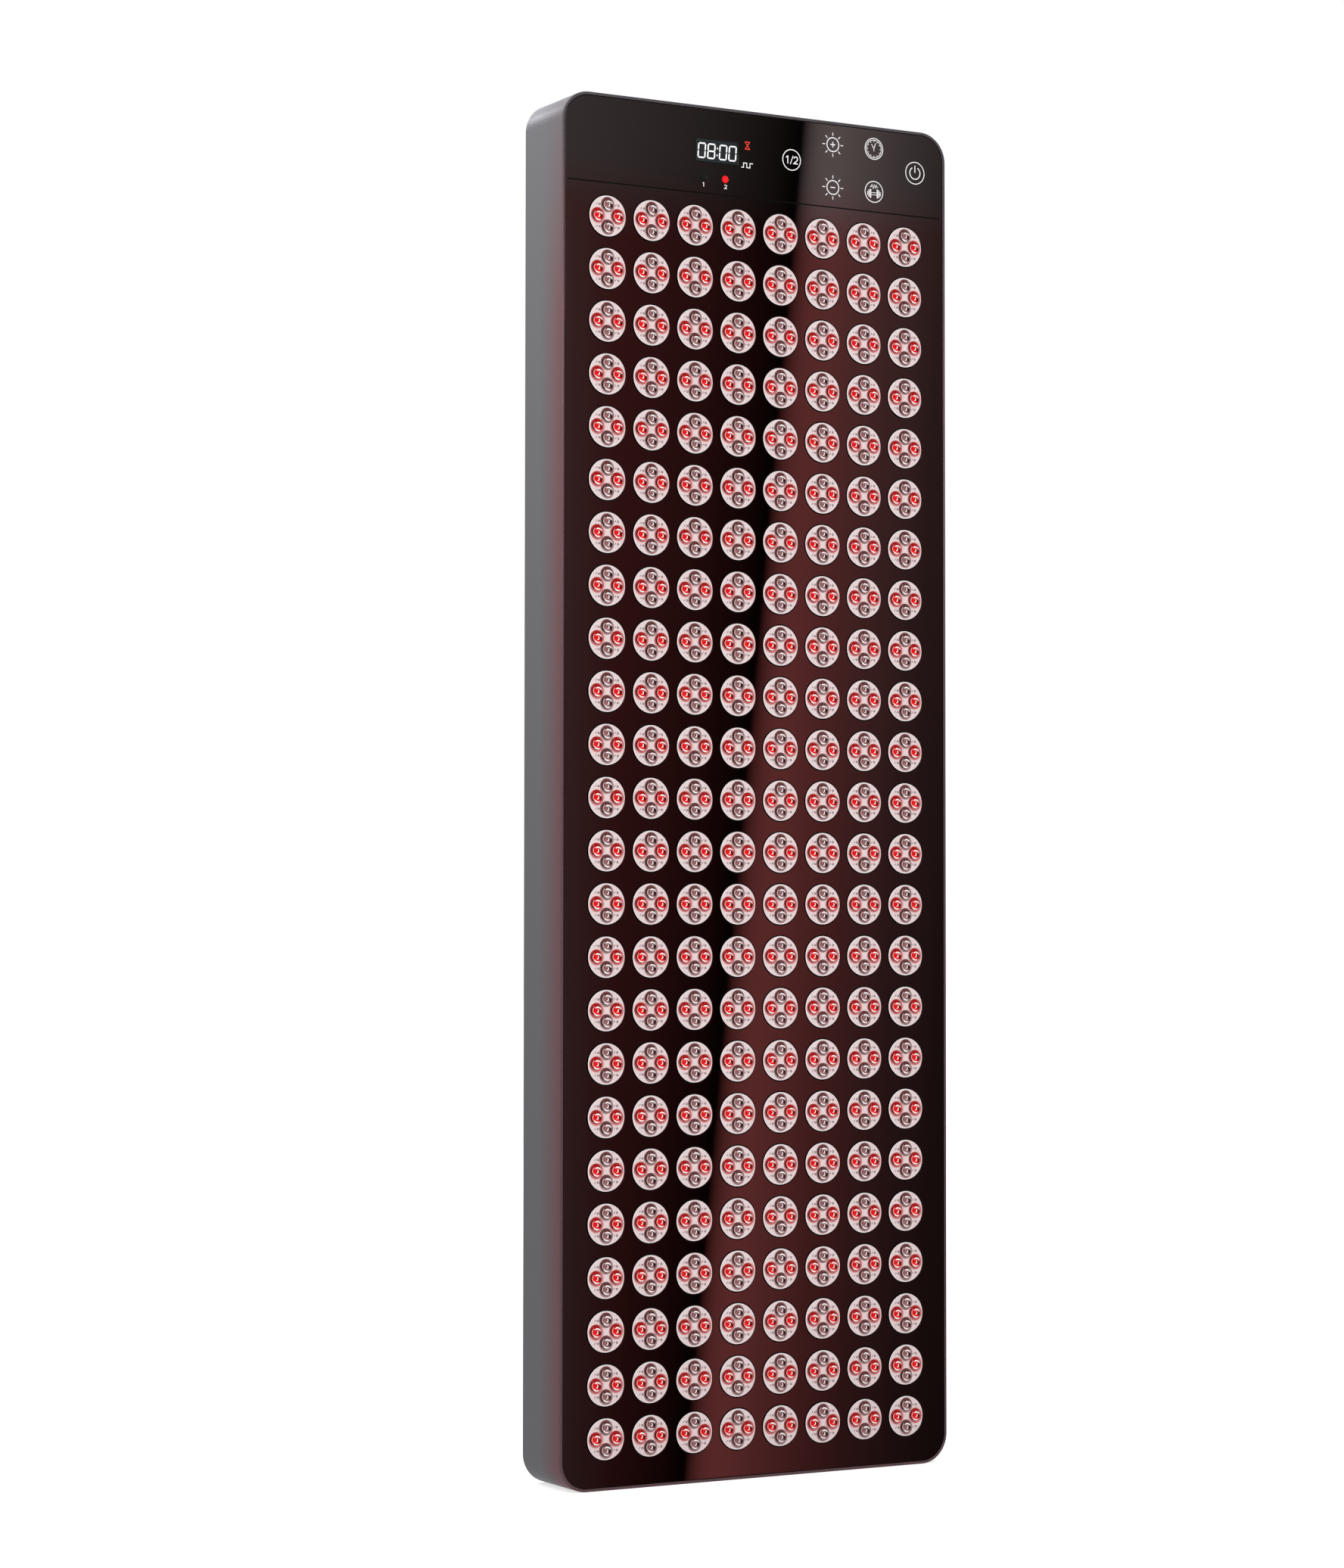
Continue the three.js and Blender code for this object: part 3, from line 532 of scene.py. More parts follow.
def fill(bm, rings, material):
    """A flat face inside the first ring and outside the others."""
    edges = [bm.edges.get((ring[i - 1], ring[i])) or bm.edges.new((ring[i - 1], ring[i]))
             for ring in rings for i in range(len(ring))]
    made = bmesh.ops.triangle_fill(bm, use_beauty=True, use_dissolve=False, edges=edges)
    for face in made["geom"]:
        if isinstance(face, bmesh.types.BMFace):
            face.material_index, face.smooth = material, False


def plate(bm, outline, holes, front, back, edge, material=0, keen=()):
    """A flat plate that faces -Y, with holes, and its front and back edges broken by a small chamfer. The holes in
    keen have almost sharp edges."""
    fronts, backs = [], []
    for number, points in enumerate([outline, *holes, *keen]):
        broken = min(edge, 0.03 * MM) if number > len(holes) else edge
        inner = grown(points, -broken if number == 0 else broken)
        rings = [ring_of(bm, ring, y) for ring, y in (
            (inner, front), (points, front + broken), (points, back - broken), (inner, back))]
        skin(bm, rings, material)
        fronts.append(rings[0])
        backs.append(rings[-1])
    fill(bm, fronts, material)
    fill(bm, backs, material)


def turned(bm, profile, sides, centre, closed_start=True):
    """A form turned about the Y axis from (radius, y) points, closed at its end and, if asked, at its start."""
    x, y, z = centre
    rings = [[bm.verts.new((x + radius * math.cos(a), y + along, z + radius * math.sin(a)))
              for a in (2 * math.pi * i / sides for i in range(sides))] for radius, along in profile]
    skin(bm, rings, start=closed_start, end=True)


def ribbon(bm, points, width, front, back, closed=False, material=0):
    """A flat line of some width along points of (x, z), standing from depth back to depth front."""
    count = len(points)
    sides = []
    for i, point in enumerate(points):
        here = Vector(point)
        before = here - Vector(points[i - 1]) if closed or i else None
        after = Vector(points[(i + 1) % count]) - here if closed or i < count - 1 else None
        normals = [Vector((d.y, -d.x)).normalized() for d in (before, after) if d is not None]
        miter = sum(normals, Vector((0.0, 0.0)))
        miter *= (width / 2) * len(normals) / max(miter.length_squared, 0.5)
        sides.append((here + miter, here - miter))
    rings = [[bm.verts.new((p.x, y, p.y)) for p, y in ((a, front), (b, front), (b, back), (a, back))]
             for a, b in sides]
    skin(bm, rings + rings[:1] if closed else rings, material, not closed, not closed, smooth=False)


def ring_line(bm, radius, width, front, back, x, z, steps, material=0):
    ribbon(bm, arc(radius, 0, 360 - 360 / steps, steps - 1, x, z), width, front, back, True, material)


def joined(bm, other):
    """Adds the other bmesh to this one, and frees it."""
    holder = bpy.data.meshes.new("holder")
    other.to_mesh(holder)
    other.free()
    bm.from_mesh(holder)
    bpy.data.meshes.remove(holder)


def meshed(name, bm, materials, smooth_angle=None):
    """Turns a bmesh into an object of the scene, with its materials."""
    bmesh.ops.recalc_face_normals(bm, faces=bm.faces)
    mesh = bpy.data.meshes.new(name)
    bm.to_mesh(mesh)
    bm.free()
    for material in materials:
        mesh.materials.append(material)
    if smooth_angle is not None:
        mesh.shade_smooth()
        mesh.set_sharp_from_angle(angle=math.radians(smooth_angle))
    piece = bpy.data.objects.new(name, mesh)
    bpy.context.scene.collection.objects.link(piece)
    return piece


def riding(piece, body, replaced):
    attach(piece, body)
    if replaced:
        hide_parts(*replaced)


def finished(name, bm, materials, body, replaced=(), smooth_angle=None):
    """Turns a bmesh into a piece with its materials, riding on a body."""
    riding(meshed(name, bm, materials, smooth_angle), body, replaced)


def dress(node, material, edge=0.0):
    """A better material on a carried-over solid, and edges broken by a small radius."""
    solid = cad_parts[node]
    for holder in solid.material_slots:
        holder.material = material
    if edge:
        solid.modifiers.new("weld", "WELD").merge_threshold = 0.01 * MM
        bevel = solid.modifiers.new("broken_edges", "BEVEL")
        bevel.width, bevel.segments, bevel.limit_method = edge, 2, "ANGLE"
        bevel.angle_limit = math.radians(40)


PAN_HEAD = ((1, 0), (1, 0.35), (0.86, 0.8), (0.55, 1), (0.02, 1))  # a screw's profile, in shares of radius and height


def screw(bm, x, y, z, diameter):
    """A pan head standing from depth y towards +Y, with a cross recess in the piece's second material."""
    radius, height, reach = diameter / 2, diameter * 0.36, diameter / 4
    turned(bm, [(radius * r, height * h) for r, h in PAN_HEAD], 20, (x, y, z), closed_start=False)
    for angle in (45, 135):
        u, v = reach * math.cos(math.radians(angle)), reach * math.sin(math.radians(angle))
        ribbon(bm, [(x - u, z - v), (x + u, z + v)], diameter * 0.11,
               y + height + 0.03 * MM, y + height - 0.05 * MM, material=1)


# ---------------------------------------------------------------- operators

class LIGHTPANEL_OT_housing(bpy.types.Operator):
    """Builds the aluminium band round the panel."""
    bl_idname = "light_panel.housing"
    bl_label = "Aluminium band"

    def execute(self, context):
        s = context.scene.light_panel_housing
        front, back, wall = BAND_LOW.y, BAND_HIGH.y, s.wall
        edge = broken_edge(s.edge_round, 4)
        seat, chamfer = 0.3 * MM, 0.2 * MM  # behind the glass and before the cover, and along the band's inner edges
        ledge, flange = 2 * MM, 1.5 * MM  # thicknesses
        profile = [(wall - chamfer, front), *((inset, front + deep) for inset, deep in edge)]
        profile += [*((inset, back - deep) for inset, deep in reversed(edge)), (wall - chamfer, back),
                    (wall, back - chamfer)]
        for reach, near, thick in ((s.flange, COVER_LOW.y - seat - flange, flange),
                                   (s.ledge, GLASS_HIGH.y + seat, ledge)):
            profile += [(wall, near + thick), (wall + reach, near + thick), (wall + reach, near), (wall, near)]
        profile.append((wall, front + chamfer))
        bm = bmesh.new()
        rings = [ring_of(bm, rounded(WIDTH - 2 * inset, HEIGHT - 2 * inset, s.corner_radius - inset, CORNER_STEPS,
                                     0.0, MIDDLE), y) for inset, y in profile]
        skin(bm, rings + rings[:1])
        finished("aluminium_band", bm, [blasted_aluminium(s)], "housing", ["side_frame"], 35)
        return {"FINISHED"}


class LIGHTPANEL_OT_front(bpy.types.Operator):
    """Builds the glass front, with a round hole for every lens head, the window, the lamps and the groove."""
    bl_idname = "light_panel.front"
    bl_label = "Front glass"

    def execute(self, context):
        s, lens = context.scene.light_panel_front, context.scene.light_panel_lens
        gap = 0.3 * MM  # round the window and the lamps
        holes = [circle(lens.diameter / 2 + s.hole_gap, 40, x, LOW_ROW_Z + row * ROW_PITCH)
                 for row in range(len(ROWS)) for x in spaced(lens.columns, lens.pitch)]
        holes.append(box_outline("display_window", 0.6 * MM, 2, gap))
        for number in (1, 2):
            x, _, z = middle(f"indicator_lamp_{number}")
            holes.append(circle(LAMP_RADIUS + gap, 24, x, z))
        width = GLASS_HIGH.x - GLASS_LOW.x - 2 * s.groove_margin
        groove = rounded(width, s.groove_width, 0.1 * MM, 1, 0.0, HEIGHT - s.groove_drop)
        bm = bmesh.new()
        plate(bm, box_outline("front_panel", s.corner_radius, CORNER_STEPS), holes, GLASS_LOW.y, GLASS_HIGH.y,
              s.edge_round, keen=[groove])
        finished("front_glass", bm, [painted_glass(s)], "housing", ["front_panel"])
        bm = bmesh.new()
        plate(bm, groove, [], GLASS_LOW.y + s.groove_depth, GLASS_HIGH.y - 0.5 * MM, 0.02 * MM)
        # The groove's floor is painted nearly black as shade.
        finished("groove_floor", bm, [painted_shade_black("glass_ground_groove")], "housing")
        return {"FINISHED"}


LENS_PROFILE = (  # of a small lens: share of the collar's radius, depth in the head's face, what the step after it is
    (1.0, 0.0, "outline"), (0.98, 0.12 * MM, "outline"), (0.955, 0.02 * MM, "collar"), (0.86, -0.06 * MM, "collar"),
    (0.80, 0.10 * MM, "collar"), (0.74, 0.26 * MM, "collar"), (0.66, 0.16 * MM, "dome"), (0.50, -0.08 * MM, "dome"),
    (0.34, -0.22 * MM, "dome"), (0.18, -0.30 * MM, "dome"), (0.04, -0.34 * MM, "dome"),
)
LENS_RIBS = (  # centre and radius in shares of the collar's radius, start and end in degrees, width as a share, tone
    # Bright tones are painted highlights, black ones painted reflections of the black front, shade and deep ones
    # painted shade, pale ones painted light.
    (0.0, 0.0, 0.80, 58, 120, 0.34, "deep"),
    (0.0, 0.0, 0.86, 150, 300, 0.055, "shade"),
    (0.0, 0.0, 0.87, -66, 60, 0.035, "outline"),
    (0.0, 0.0, 0.70, 124, 246, 0.18, "black"),
    (0.0, 0.0, 0.715, 236, 292, 0.12, "shade"),
    (0.0, 0.0, 0.71, 34, 90, 0.19, "shade"),
    (0.0, 0.0, 0.715, -48, 16, 0.19, "shade"),
    (0.0, 0.0, 0.60, 92, 128, 0.10, "shade"),
    (0.0, 0.0, 0.61, 192, 226, 0.09, "shade"),
    (0.12, 0.0, 0.39, -48, 50, 0.26, "shade"),
    (-0.02, 0.02, 0.38, 126, 190, 0.08, "shade"),
    (0.0, 0.0, 0.08, -20, 100, 0.10, "shade"),
    (0.0, 0.0, 0.53, 112, 236, 0.15, "pale"),
    (0.13, -0.10, 0.50, 200, 304, 0.19, "bright"),
    (0.18, -0.04, 0.49, 18, 136, 0.19, "bright"),
    (0.0, 0.0, 0.25, -92, 54, 0.14, "bright"),
)
COLLAR_TONES = {"deep": 0.05, "pale": 0.7}  # ribs in one tone of the collar's painted shading, by how far it lies to the painted light side


def painted_light_side(px, pz):
    """How far a point of a small lens, in shares of its radius, lies towards its lower right, which is painted pale as
    light while the top is painted dark as shade.
    """
    return 0.5 + 0.5 * (0.4 * px - 0.9 * pz)


def lens_depth(share):
    """Depth of a small lens's surface at a share of its collar's radius."""
    for (outer, deep, _), (inner, shallow, _) in zip(LENS_PROFILE, LENS_PROFILE[1:]):
        if share >= inner:
            return deep + (shallow - deep) * min(max((outer - share) / (outer - inner), 0.0), 1.0)
    return LENS_PROFILE[-1][1]


class LIGHTPANEL_OT_lenses(bpy.types.Operator):
    """Builds one row of lens heads and sets it on every board strip."""
    bl_idname = "light_panel.lenses"
    bl_label = "Lens heads"

    def execute(self, context):
        s = context.scene.light_panel_lens
        looks = {
            "face": head_face(s),
            # The rim's near white is a painted highlight on the head's rounded edge.
            "rim": moulded_plastic("polycarbonate_rim_painted_highlight", s.rim, 0.15, 3 * MM, 0.005 * MM),
            # The outline's dark colour is painted shade in the groove.
            "outline": clear_plastic("polycarbonate_outline_painted_shade", s.outline),
            "collar": clear_plastic("polycarbonate_collar_unlit", s.dark_collar, s.pale_collar),
            "lit_collar": clear_plastic("polycarbonate_collar_lit", s.lit_dark_collar, s.lit_pale_collar, 0.05),
            "dome": clear_plastic("epoxy_dome_unlit", s.dome),
            "lit_dome": clear_plastic("epoxy_dome_lit", s.lit_dome, glow=0.1),
            # Painted highlight, painted reflection of the black front, and painted shade on the ribs.
            "bright": clear_plastic("polycarbonate_rib_painted_highlight", s.bright),
            "black": clear_plastic("polycarbonate_rib_painted_dark_reflection", s.black),
            "shade": clear_plastic("polycarbonate_rib_shaded_unlit", s.shade),
            "lit_shade": clear_plastic("polycarbonate_rib_shaded_lit", s.lit_shade),
            # The neck is painted nearly black as shade in the gap round the head.
            "marks": screen_ink("solder_mask_marks", s.marks),
            "neck": painted_shade_black("polycarbonate_neck_painted_shade"),
            "board": glass_fibre_board(),
        }
        numbers = {look: number for number, look in enumerate(looks)}
        bm = bmesh.new()
        side = bm.verts.layers.float.new("painted_light_side")
        for x in spaced(s.columns, s.pitch):
            self.head(bm, side, s, numbers, x)
        back = ROW_HIGH.y - HEAD_FRONT
        plate(bm, rounded(ROW_HIGH.x - ROW_LOW.x, ROW_HIGH.z - ROW_LOW.z, 0.5 * MM, 1), [],
              back - BOARD, back, 0.1 * MM, numbers["board"])
        row = meshed("lens_row_01", bm, looks.values())
        for number, name in enumerate(ROWS, 1):
            if number > 1:
                row = bpy.data.objects.new(f"lens_row_{number:02d}", row.data)
                context.scene.collection.objects.link(row)
            row.location = (0.0, HEAD_FRONT, middle(name)[2])
            riding(row, "housing", [name])
        return {"FINISHED"}

    def head(self, bm, side, s, numbers, x):
        """One head about (x, 0), its face at depth 0: a lipped disc on a narrower neck, painted nearly black as shade
        in the gap.
        """
        radius, neck = s.diameter / 2, s.diameter / 2 - s.neck_step
        edge = [(radius - inset, deep) for inset, deep in broken_edge(s.edge_round, 3)]
        under = [(radius, s.lip), (neck, s.lip + 0.2 * MM), (neck, ROW_HIGH.y - HEAD_FRONT - BOARD)]
        rings = [ring_of(bm, circle(r, 44, x), y) for r, y in [*edge, *under]]
        skin(bm, rings, [numbers["rim"]] * (len(edge) - 1) + [numbers["neck"]] * len(under))
        openings = [self.small_lens(bm, side, s.collar, numbers, x + u * s.lens_offset, v * s.lens_offset, lit)
                    for u, v, lit in ((0, 1, False), (0, -1, False), (-1, 0, True), (1, 0, True))]
        fill(bm, [rings[0], *openings], numbers["face"])
        top = -0.02 * MM  # of the board's marks, a bar and a ring in each quarter of the face
        for u in (-1, 1):
            for v in (-1, 1):
                px, pz = x + u * 7.1 * MM, v * 7.4 * MM
                ribbon(bm, [(px - 1.45 * MM, pz - 0.55 * MM), (px - 0.6 * MM, pz + 0.7 * MM)], 0.42 * MM,
                       top, INK_DEPTH, material=numbers["marks"])
                ring_line(bm, 0.56 * MM, 0.46 * MM, top, INK_DEPTH, px + 1.0 * MM, pz - 0.05 * MM, 12,
                          numbers["marks"])

    def small_lens(self, bm, side, c, numbers, x, z, lit):
        """A small lens: a grooved outline, a collar, and a dome with ribs of its refractor, coloured as painted
        highlights, painted reflections of the black front and painted shade.
        """
        tones = {look: numbers.get("lit_" + look, number) if lit else number for look, number in numbers.items()}
        rings = [ring_of(bm, circle(share * c, 28, x, z), depth) for share, depth, _ in LENS_PROFILE]
        skin(bm, rings, [tones[kind] for _, _, kind in LENS_PROFILE], end=True)
        for ring in rings:
            for vert in ring:
                vert[side] = painted_light_side((vert.co.x - x) / c, (vert.co.z - z) / c)
        for number, (*form, tone) in enumerate(LENS_RIBS):
            # Each rib lies a little higher than the one before, so that no two of them share a plane.
            self.rib(bm, side, COLLAR_TONES.get(tone), x, z, c, form,
                     tones["collar" if tone in COLLAR_TONES else tone], (0.05 + number * 0.006) * MM)
        return rings[0]

    def rib(self, bm, side, at, x, z, c, form, material, lift):
        """A low crescent that tapers to both ends and follows the lens's own relief, in steps of some 12 degrees."""
        u, v, radius, start, end, width = form
        steps = max(6, round(abs(end - start) / 12))
        blunt = 0.12  # share of the width that is left at the ends
        before = None
        for i in range(steps + 1):
            t = i / steps
            a = math.radians(start + (end - start) * t)
            half = width / 2 * (blunt + (1 - blunt) * math.sin(math.pi * t) ** 0.5)
            row = []
            for offset, crest in ((-half, 0.0), (0.0, 0.05 * MM), (half, 0.0)):
                px, pz = u + (radius + offset) * math.cos(a), v + (radius + offset) * math.sin(a)
                y = lens_depth(math.hypot(px, pz)) - lift - crest
                vert = bm.verts.new((x + px * c, y, z + pz * c))
                vert[side] = painted_light_side(px, pz) if at is None else at
                row.append(vert)
            if before:
                for k in (0, 1):
                    face = bm.faces.new((before[k], before[k + 1], row[k + 1], row[k]))
                    face.material_index, face.smooth = material, True
            before = row


SEGMENTS = {  # where a digit's segments start and end, in shares of its half width and half height
    "a": ((-1, 1), (1, 1)), "b": ((1, 0), (1, 1)), "c": ((1, -1), (1, 0)), "d": ((-1, -1), (1, -1)),
    "e": ((-1, -1), (-1, 0)), "f": ((-1, 0), (-1, 1)), "g": ((-1, 0), (1, 0)),
}
DIGITS = (("abcdef", -11.6 * MM), ("abcdefg", -4.2 * MM), ("abcdef", 4.9 * MM), ("abcdef", 12.2 * MM))  # 08:00
DIGIT_WIDTH = 6.2 * MM
SLANT = math.tan(math.radians(4))


class LIGHTPANEL_OT_header(bpy.types.Operator):
    """Builds the display's digits, the printed symbols and the indicator lamps."""
    bl_idname = "light_panel.header"
    bl_label = "Header"

    def execute(self, context):
        s = context.scene.light_panel_header
        self.display(s)
        self.symbols(s)
        self.lamps(s)
        return {"FINISHED"}

    def display(self, s):
        dress("display_window", clear_dome("polycarbonate_smoked_window", s.window, 0.0, 0.05))
        dress("display_module", moulded_plastic("abs_moulded_display_case", linear("#101011")))
        dress("touch_board", glass_fibre_board())
        bm = bmesh.new()
        stroke, z = s.digit_stroke, WINDOW_Z - 0.2 * MM
        front, back, edge = WINDOW_FRONT - s.ink_height, WINDOW_FRONT + INK_DEPTH, 0.01 * MM
        for segments, at in DIGITS:
            for name in segments:
                points = self.segment(name, DIGIT_WIDTH / 2 - stroke / 2, s.digit_height / 2 - stroke / 2, stroke)
                plate(bm, [(WINDOW_X + at + p.x + SLANT * p.y, z + p.y) for p in points], [], front, back, edge)
        for up in (0.22 * s.digit_height, -0.22 * s.digit_height):
            dot = rounded(stroke, stroke, 0.2 * MM, 2, WINDOW_X + 0.35 * MM + SLANT * up, z + up)
            plate(bm, dot, [], front, back, edge)
        finished("display_digits", bm, [screen_ink("led_segments_white", s.digits, 0.15)], "housing")

    def segment(self, name, half_width, half_height, stroke):
        """The outline of one of a digit's seven segments, with pointed ends, about the digit's middle."""
        start, end = (Vector((u * half_width, v * half_height)) for u, v in SEGMENTS[name])
        along = (end - start).normalized()
        across = Vector((-along.y, along.x)) * stroke / 2
        gap, point = along * 0.12 * MM, along * stroke / 2
        start, end = start + gap, end - gap
        return [start, start + point - across, end - point - across,
                end, end - point + across, start + point + across]

    def symbols(self, s):
        """The printed symbols. Their sizes are in millimetres, and so are their places, from the panel's middle."""
        front, back = GLASS_FRONT - s.ink_height, GLASS_FRONT + INK_DEPTH
        bm = bmesh.new()

        def stroke(*points, width=s.ink_width / MM):
            ribbon(bm, [(x * MM, MIDDLE + z * MM) for x, z in points], width * MM, front, back)

        def hoop(radius, x, z, width):
            ring_line(bm, radius * MM, width * MM, front, back, x * MM, MIDDLE + z * MM, 48)

        def rays(count, inner, outer, x, z, width):
            for i in range(count):
                a = 2 * math.pi * i / count
                stroke(*((x + r * math.cos(a), z + r * math.sin(a)) for r in (inner, outer)), width=width)

        def numeral(digit, x, z, height, width):
            half, top, foot = height * 0.27, z + height / 2 - width / 2, z - height / 2
            if digit == 1:
                stroke((x - half, z + height * 0.28), (x, top), (x, foot), width=width)
            else:
                stroke(*arc(half, 170, -30, 8, x, top - half), (x - half, foot + width / 2),
                       (x + half + width / 4, foot + width / 2), width=width)

        # Mode: the two wavelength groups, in a ring
        hoop(7.0, 25.6, 428.3, 0.65)
        numeral(1, 22.6, 428.3, 5.4, 0.75)
        stroke((24.6, 425.4), (26.8, 431.2), width=0.6)
        numeral(2, 28.9, 428.3, 5.4, 0.75)
        # Brighter and dimmer: two suns, with a plus and a minus
        x, high, low = 58.5, 442.1, 412.7
        for z in (high, low):
            hoop(4.75, x, z, 0.7)
            stroke((x - 1.9, z), (x + 1.9, z))
            rays(8, 6.1, 8.3, x, z, 0.6)
        for side in (-1, 1):
            stroke((x, high + side * 1.9), (x, high + side * 0.45))
        # Timer: a clock face
        x, z = 91.7, 442.6
        hoop(7.2, x, z, 0.6)
        hoop(6.0, x, z, 0.45)
        rays(12, 4.7, 5.6, x, z, 0.35)
        stroke((x - 2.0, z + 3.2), (x, z), (x + 1.3, z + 3.9), width=0.5)
        stroke((x, z), (x, z - 1.6), width=0.5)
        # Recovery: a dumbbell under a pulse
        z = 412.9
        hoop(7.2, x, z, 0.6)
        stroke(*((x + u, z + v) for u, v in (
            (-3.4, 3.4), (-2.2, 3.4), (-1.6, 5.0), (-0.6, 2.2), (0.2, 5.0), (1.0, 2.6), (1.8, 4.8), (2.3, 3.4),
            (3.4, 3.4))), width=0.42)
        for down in (0.6, 2.1):
            stroke((x - 2.2, z - down), (x + 2.2, z - down), width=0.4)
        for u, low, high, width in ((2.7, -4.4, 1.9, 0.9), (3.9, -3.8, 1.3, 0.8), (5.0, -2.7, 0.2, 0.7)):
            for side in (-u, u):
                stroke((x + side, z + low), (x + side, z + high), width=width)
        # Power
        x, z = 125.2, 429.1
        hoop(7.55, x, z, 0.6)
        stroke(*arc(4.2, 120, 420, 30, x, z), width=0.7)
        stroke((x, z + 0.2), (x, z + 5.2), width=0.7)
        # Numbers under the lamps, and a square wave beside the display
        numeral(1, -43.1, 404.9, 3.0, 0.5)
        numeral(2, -26.2, 404.9, 3.0, 0.5)
        stroke(*((x, 421.0 + v) for x, v in (
            (-14.0, -1.5), (-12.2, -1.5), (-12.2, 1.5), (-9.7, 1.5), (-9.7, -1.5), (-7.2, -1.5), (-7.2, 1.5),
            (-4.9, 1.5))), width=0.6)
        finished("printed_symbols", bm, [screen_ink("ceramic_ink_white", s.ink, 0.12)], "housing")
        # A sand glass, lit while the timer runs
        bm = bmesh.new()
        x, z = -9.2, 434.4
        for (u, v), (u2, v2) in (((-2.0, 2.4), (2.0, 2.4)), ((-2.0, -2.4), (2.0, -2.4)), ((-1.5, 2.0), (1.5, -2.0)),
                                 ((1.5, 2.0), (-1.5, -2.0))):
            stroke((x + u, z + v), (x + u2, z + v2), width=0.55)
        finished("timer_symbol", bm, [screen_ink("ceramic_ink_warm", s.warm_ink, 0.5)], "housing")

    def lamps(self, s):
        profile = [(0.05 * MM, -0.18 * MM), (LAMP_RADIUS * 0.5, -0.14 * MM), (LAMP_RADIUS * 0.85, -0.02 * MM),
                   (LAMP_RADIUS, 0.12 * MM), (LAMP_RADIUS, 3 * MM)]
        for number, state, tone, glow in ((1, "off", s.lamp_off, 0.0), (2, "on", s.lamp_on, 0.85)):
            material = clear_dome(f"acrylic_light_guide_{state}", tone, glow, 0.2, 0.15)
            x, _, z = middle(f"indicator_lamp_{number}")
            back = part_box(f"indicator_lamp_{number}")[1].y
            bm = bmesh.new()
            turned(bm, profile, 32, (x, GLASS_FRONT, z))
            plate(bm, rounded(6.1 * MM, 6.1 * MM, 0.3 * MM, 1, x, z), [], back - BOARD, back, 0.1 * MM)
            finished(f"lamp_guide_{number}", bm, [material], "housing", [f"indicator_lamp_{number}"], 40)


class LIGHTPANEL_OT_back_cover(bpy.types.Operator):
    """Builds the slotted back cover with its screws."""
    bl_idname = "light_panel.back_cover"
    bl_label = "Back cover"

    def execute(self, context):
        s = context.scene.light_panel_back
        slots = []  # each slot's length, width and place
        for height in FAN_HEIGHTS:
            for offset in spaced(s.slot_count, s.slot_width + s.slot_web):
                reach = math.sqrt(s.grille_radius ** 2 - (abs(offset) + s.slot_width / 2) ** 2)
                slots.append((2 * reach, s.slot_width, 0.0, height + offset))
        for x in (-s.vent_x, s.vent_x):
            for z in spaced(s.vent_count, s.vent_pitch, HEIGHT - s.vent_drop):
                slots.append((s.vent_length, s.vent_width, x, z))
        holes = [rounded(across, width, width * 0.48, 5, x, z) for across, width, x, z in slots]
        inlet_width, inlet_height = 60.6 * MM, 26.6 * MM
        holes.append(rounded(inlet_width, inlet_height, 0.5 * MM, 1, INLET_X, INLET_Z))
        bm = bmesh.new()
        plate(bm, box_outline("back_cover", SHEET_CORNER, CORNER_STEPS), holes, COVER_LOW.y, COVER_HIGH.y, 0.2 * MM)
        finished("slotted_cover", bm, [powder_coat(s)], "housing", ["back_cover"])
        zinc = plated_metal("steel_screw_zinc_plated", s.zinc, 0.3, 2 * MM)
        dark = moulded_plastic("screw_recess_shadow", linear("#0a0a0b"), 0.6)
        bm = bmesh.new()
        # Six screws down each side, two at the top and two at the bottom, and four for each fan
        side, down = COVER_HIGH.x - 7 * MM, spaced(6, (HEIGHT - 68 * MM) / 5, MIDDLE)
        places = [(x, z) for x in (-side, side) for z in down]
        places += [(x, z) for x in (-60 * MM, 60 * MM) for z in (10 * MM, HEIGHT - 10 * MM)]
        for x, z in places + [place for height in FAN_HEIGHTS for place in fan_screws(height)]:
            screw(bm, x, COVER_HIGH.y, z, s.screw_head)
        finished("cover_screws", bm, [zinc, dark], "housing", smooth_angle=40)
        return {"FINISHED"}


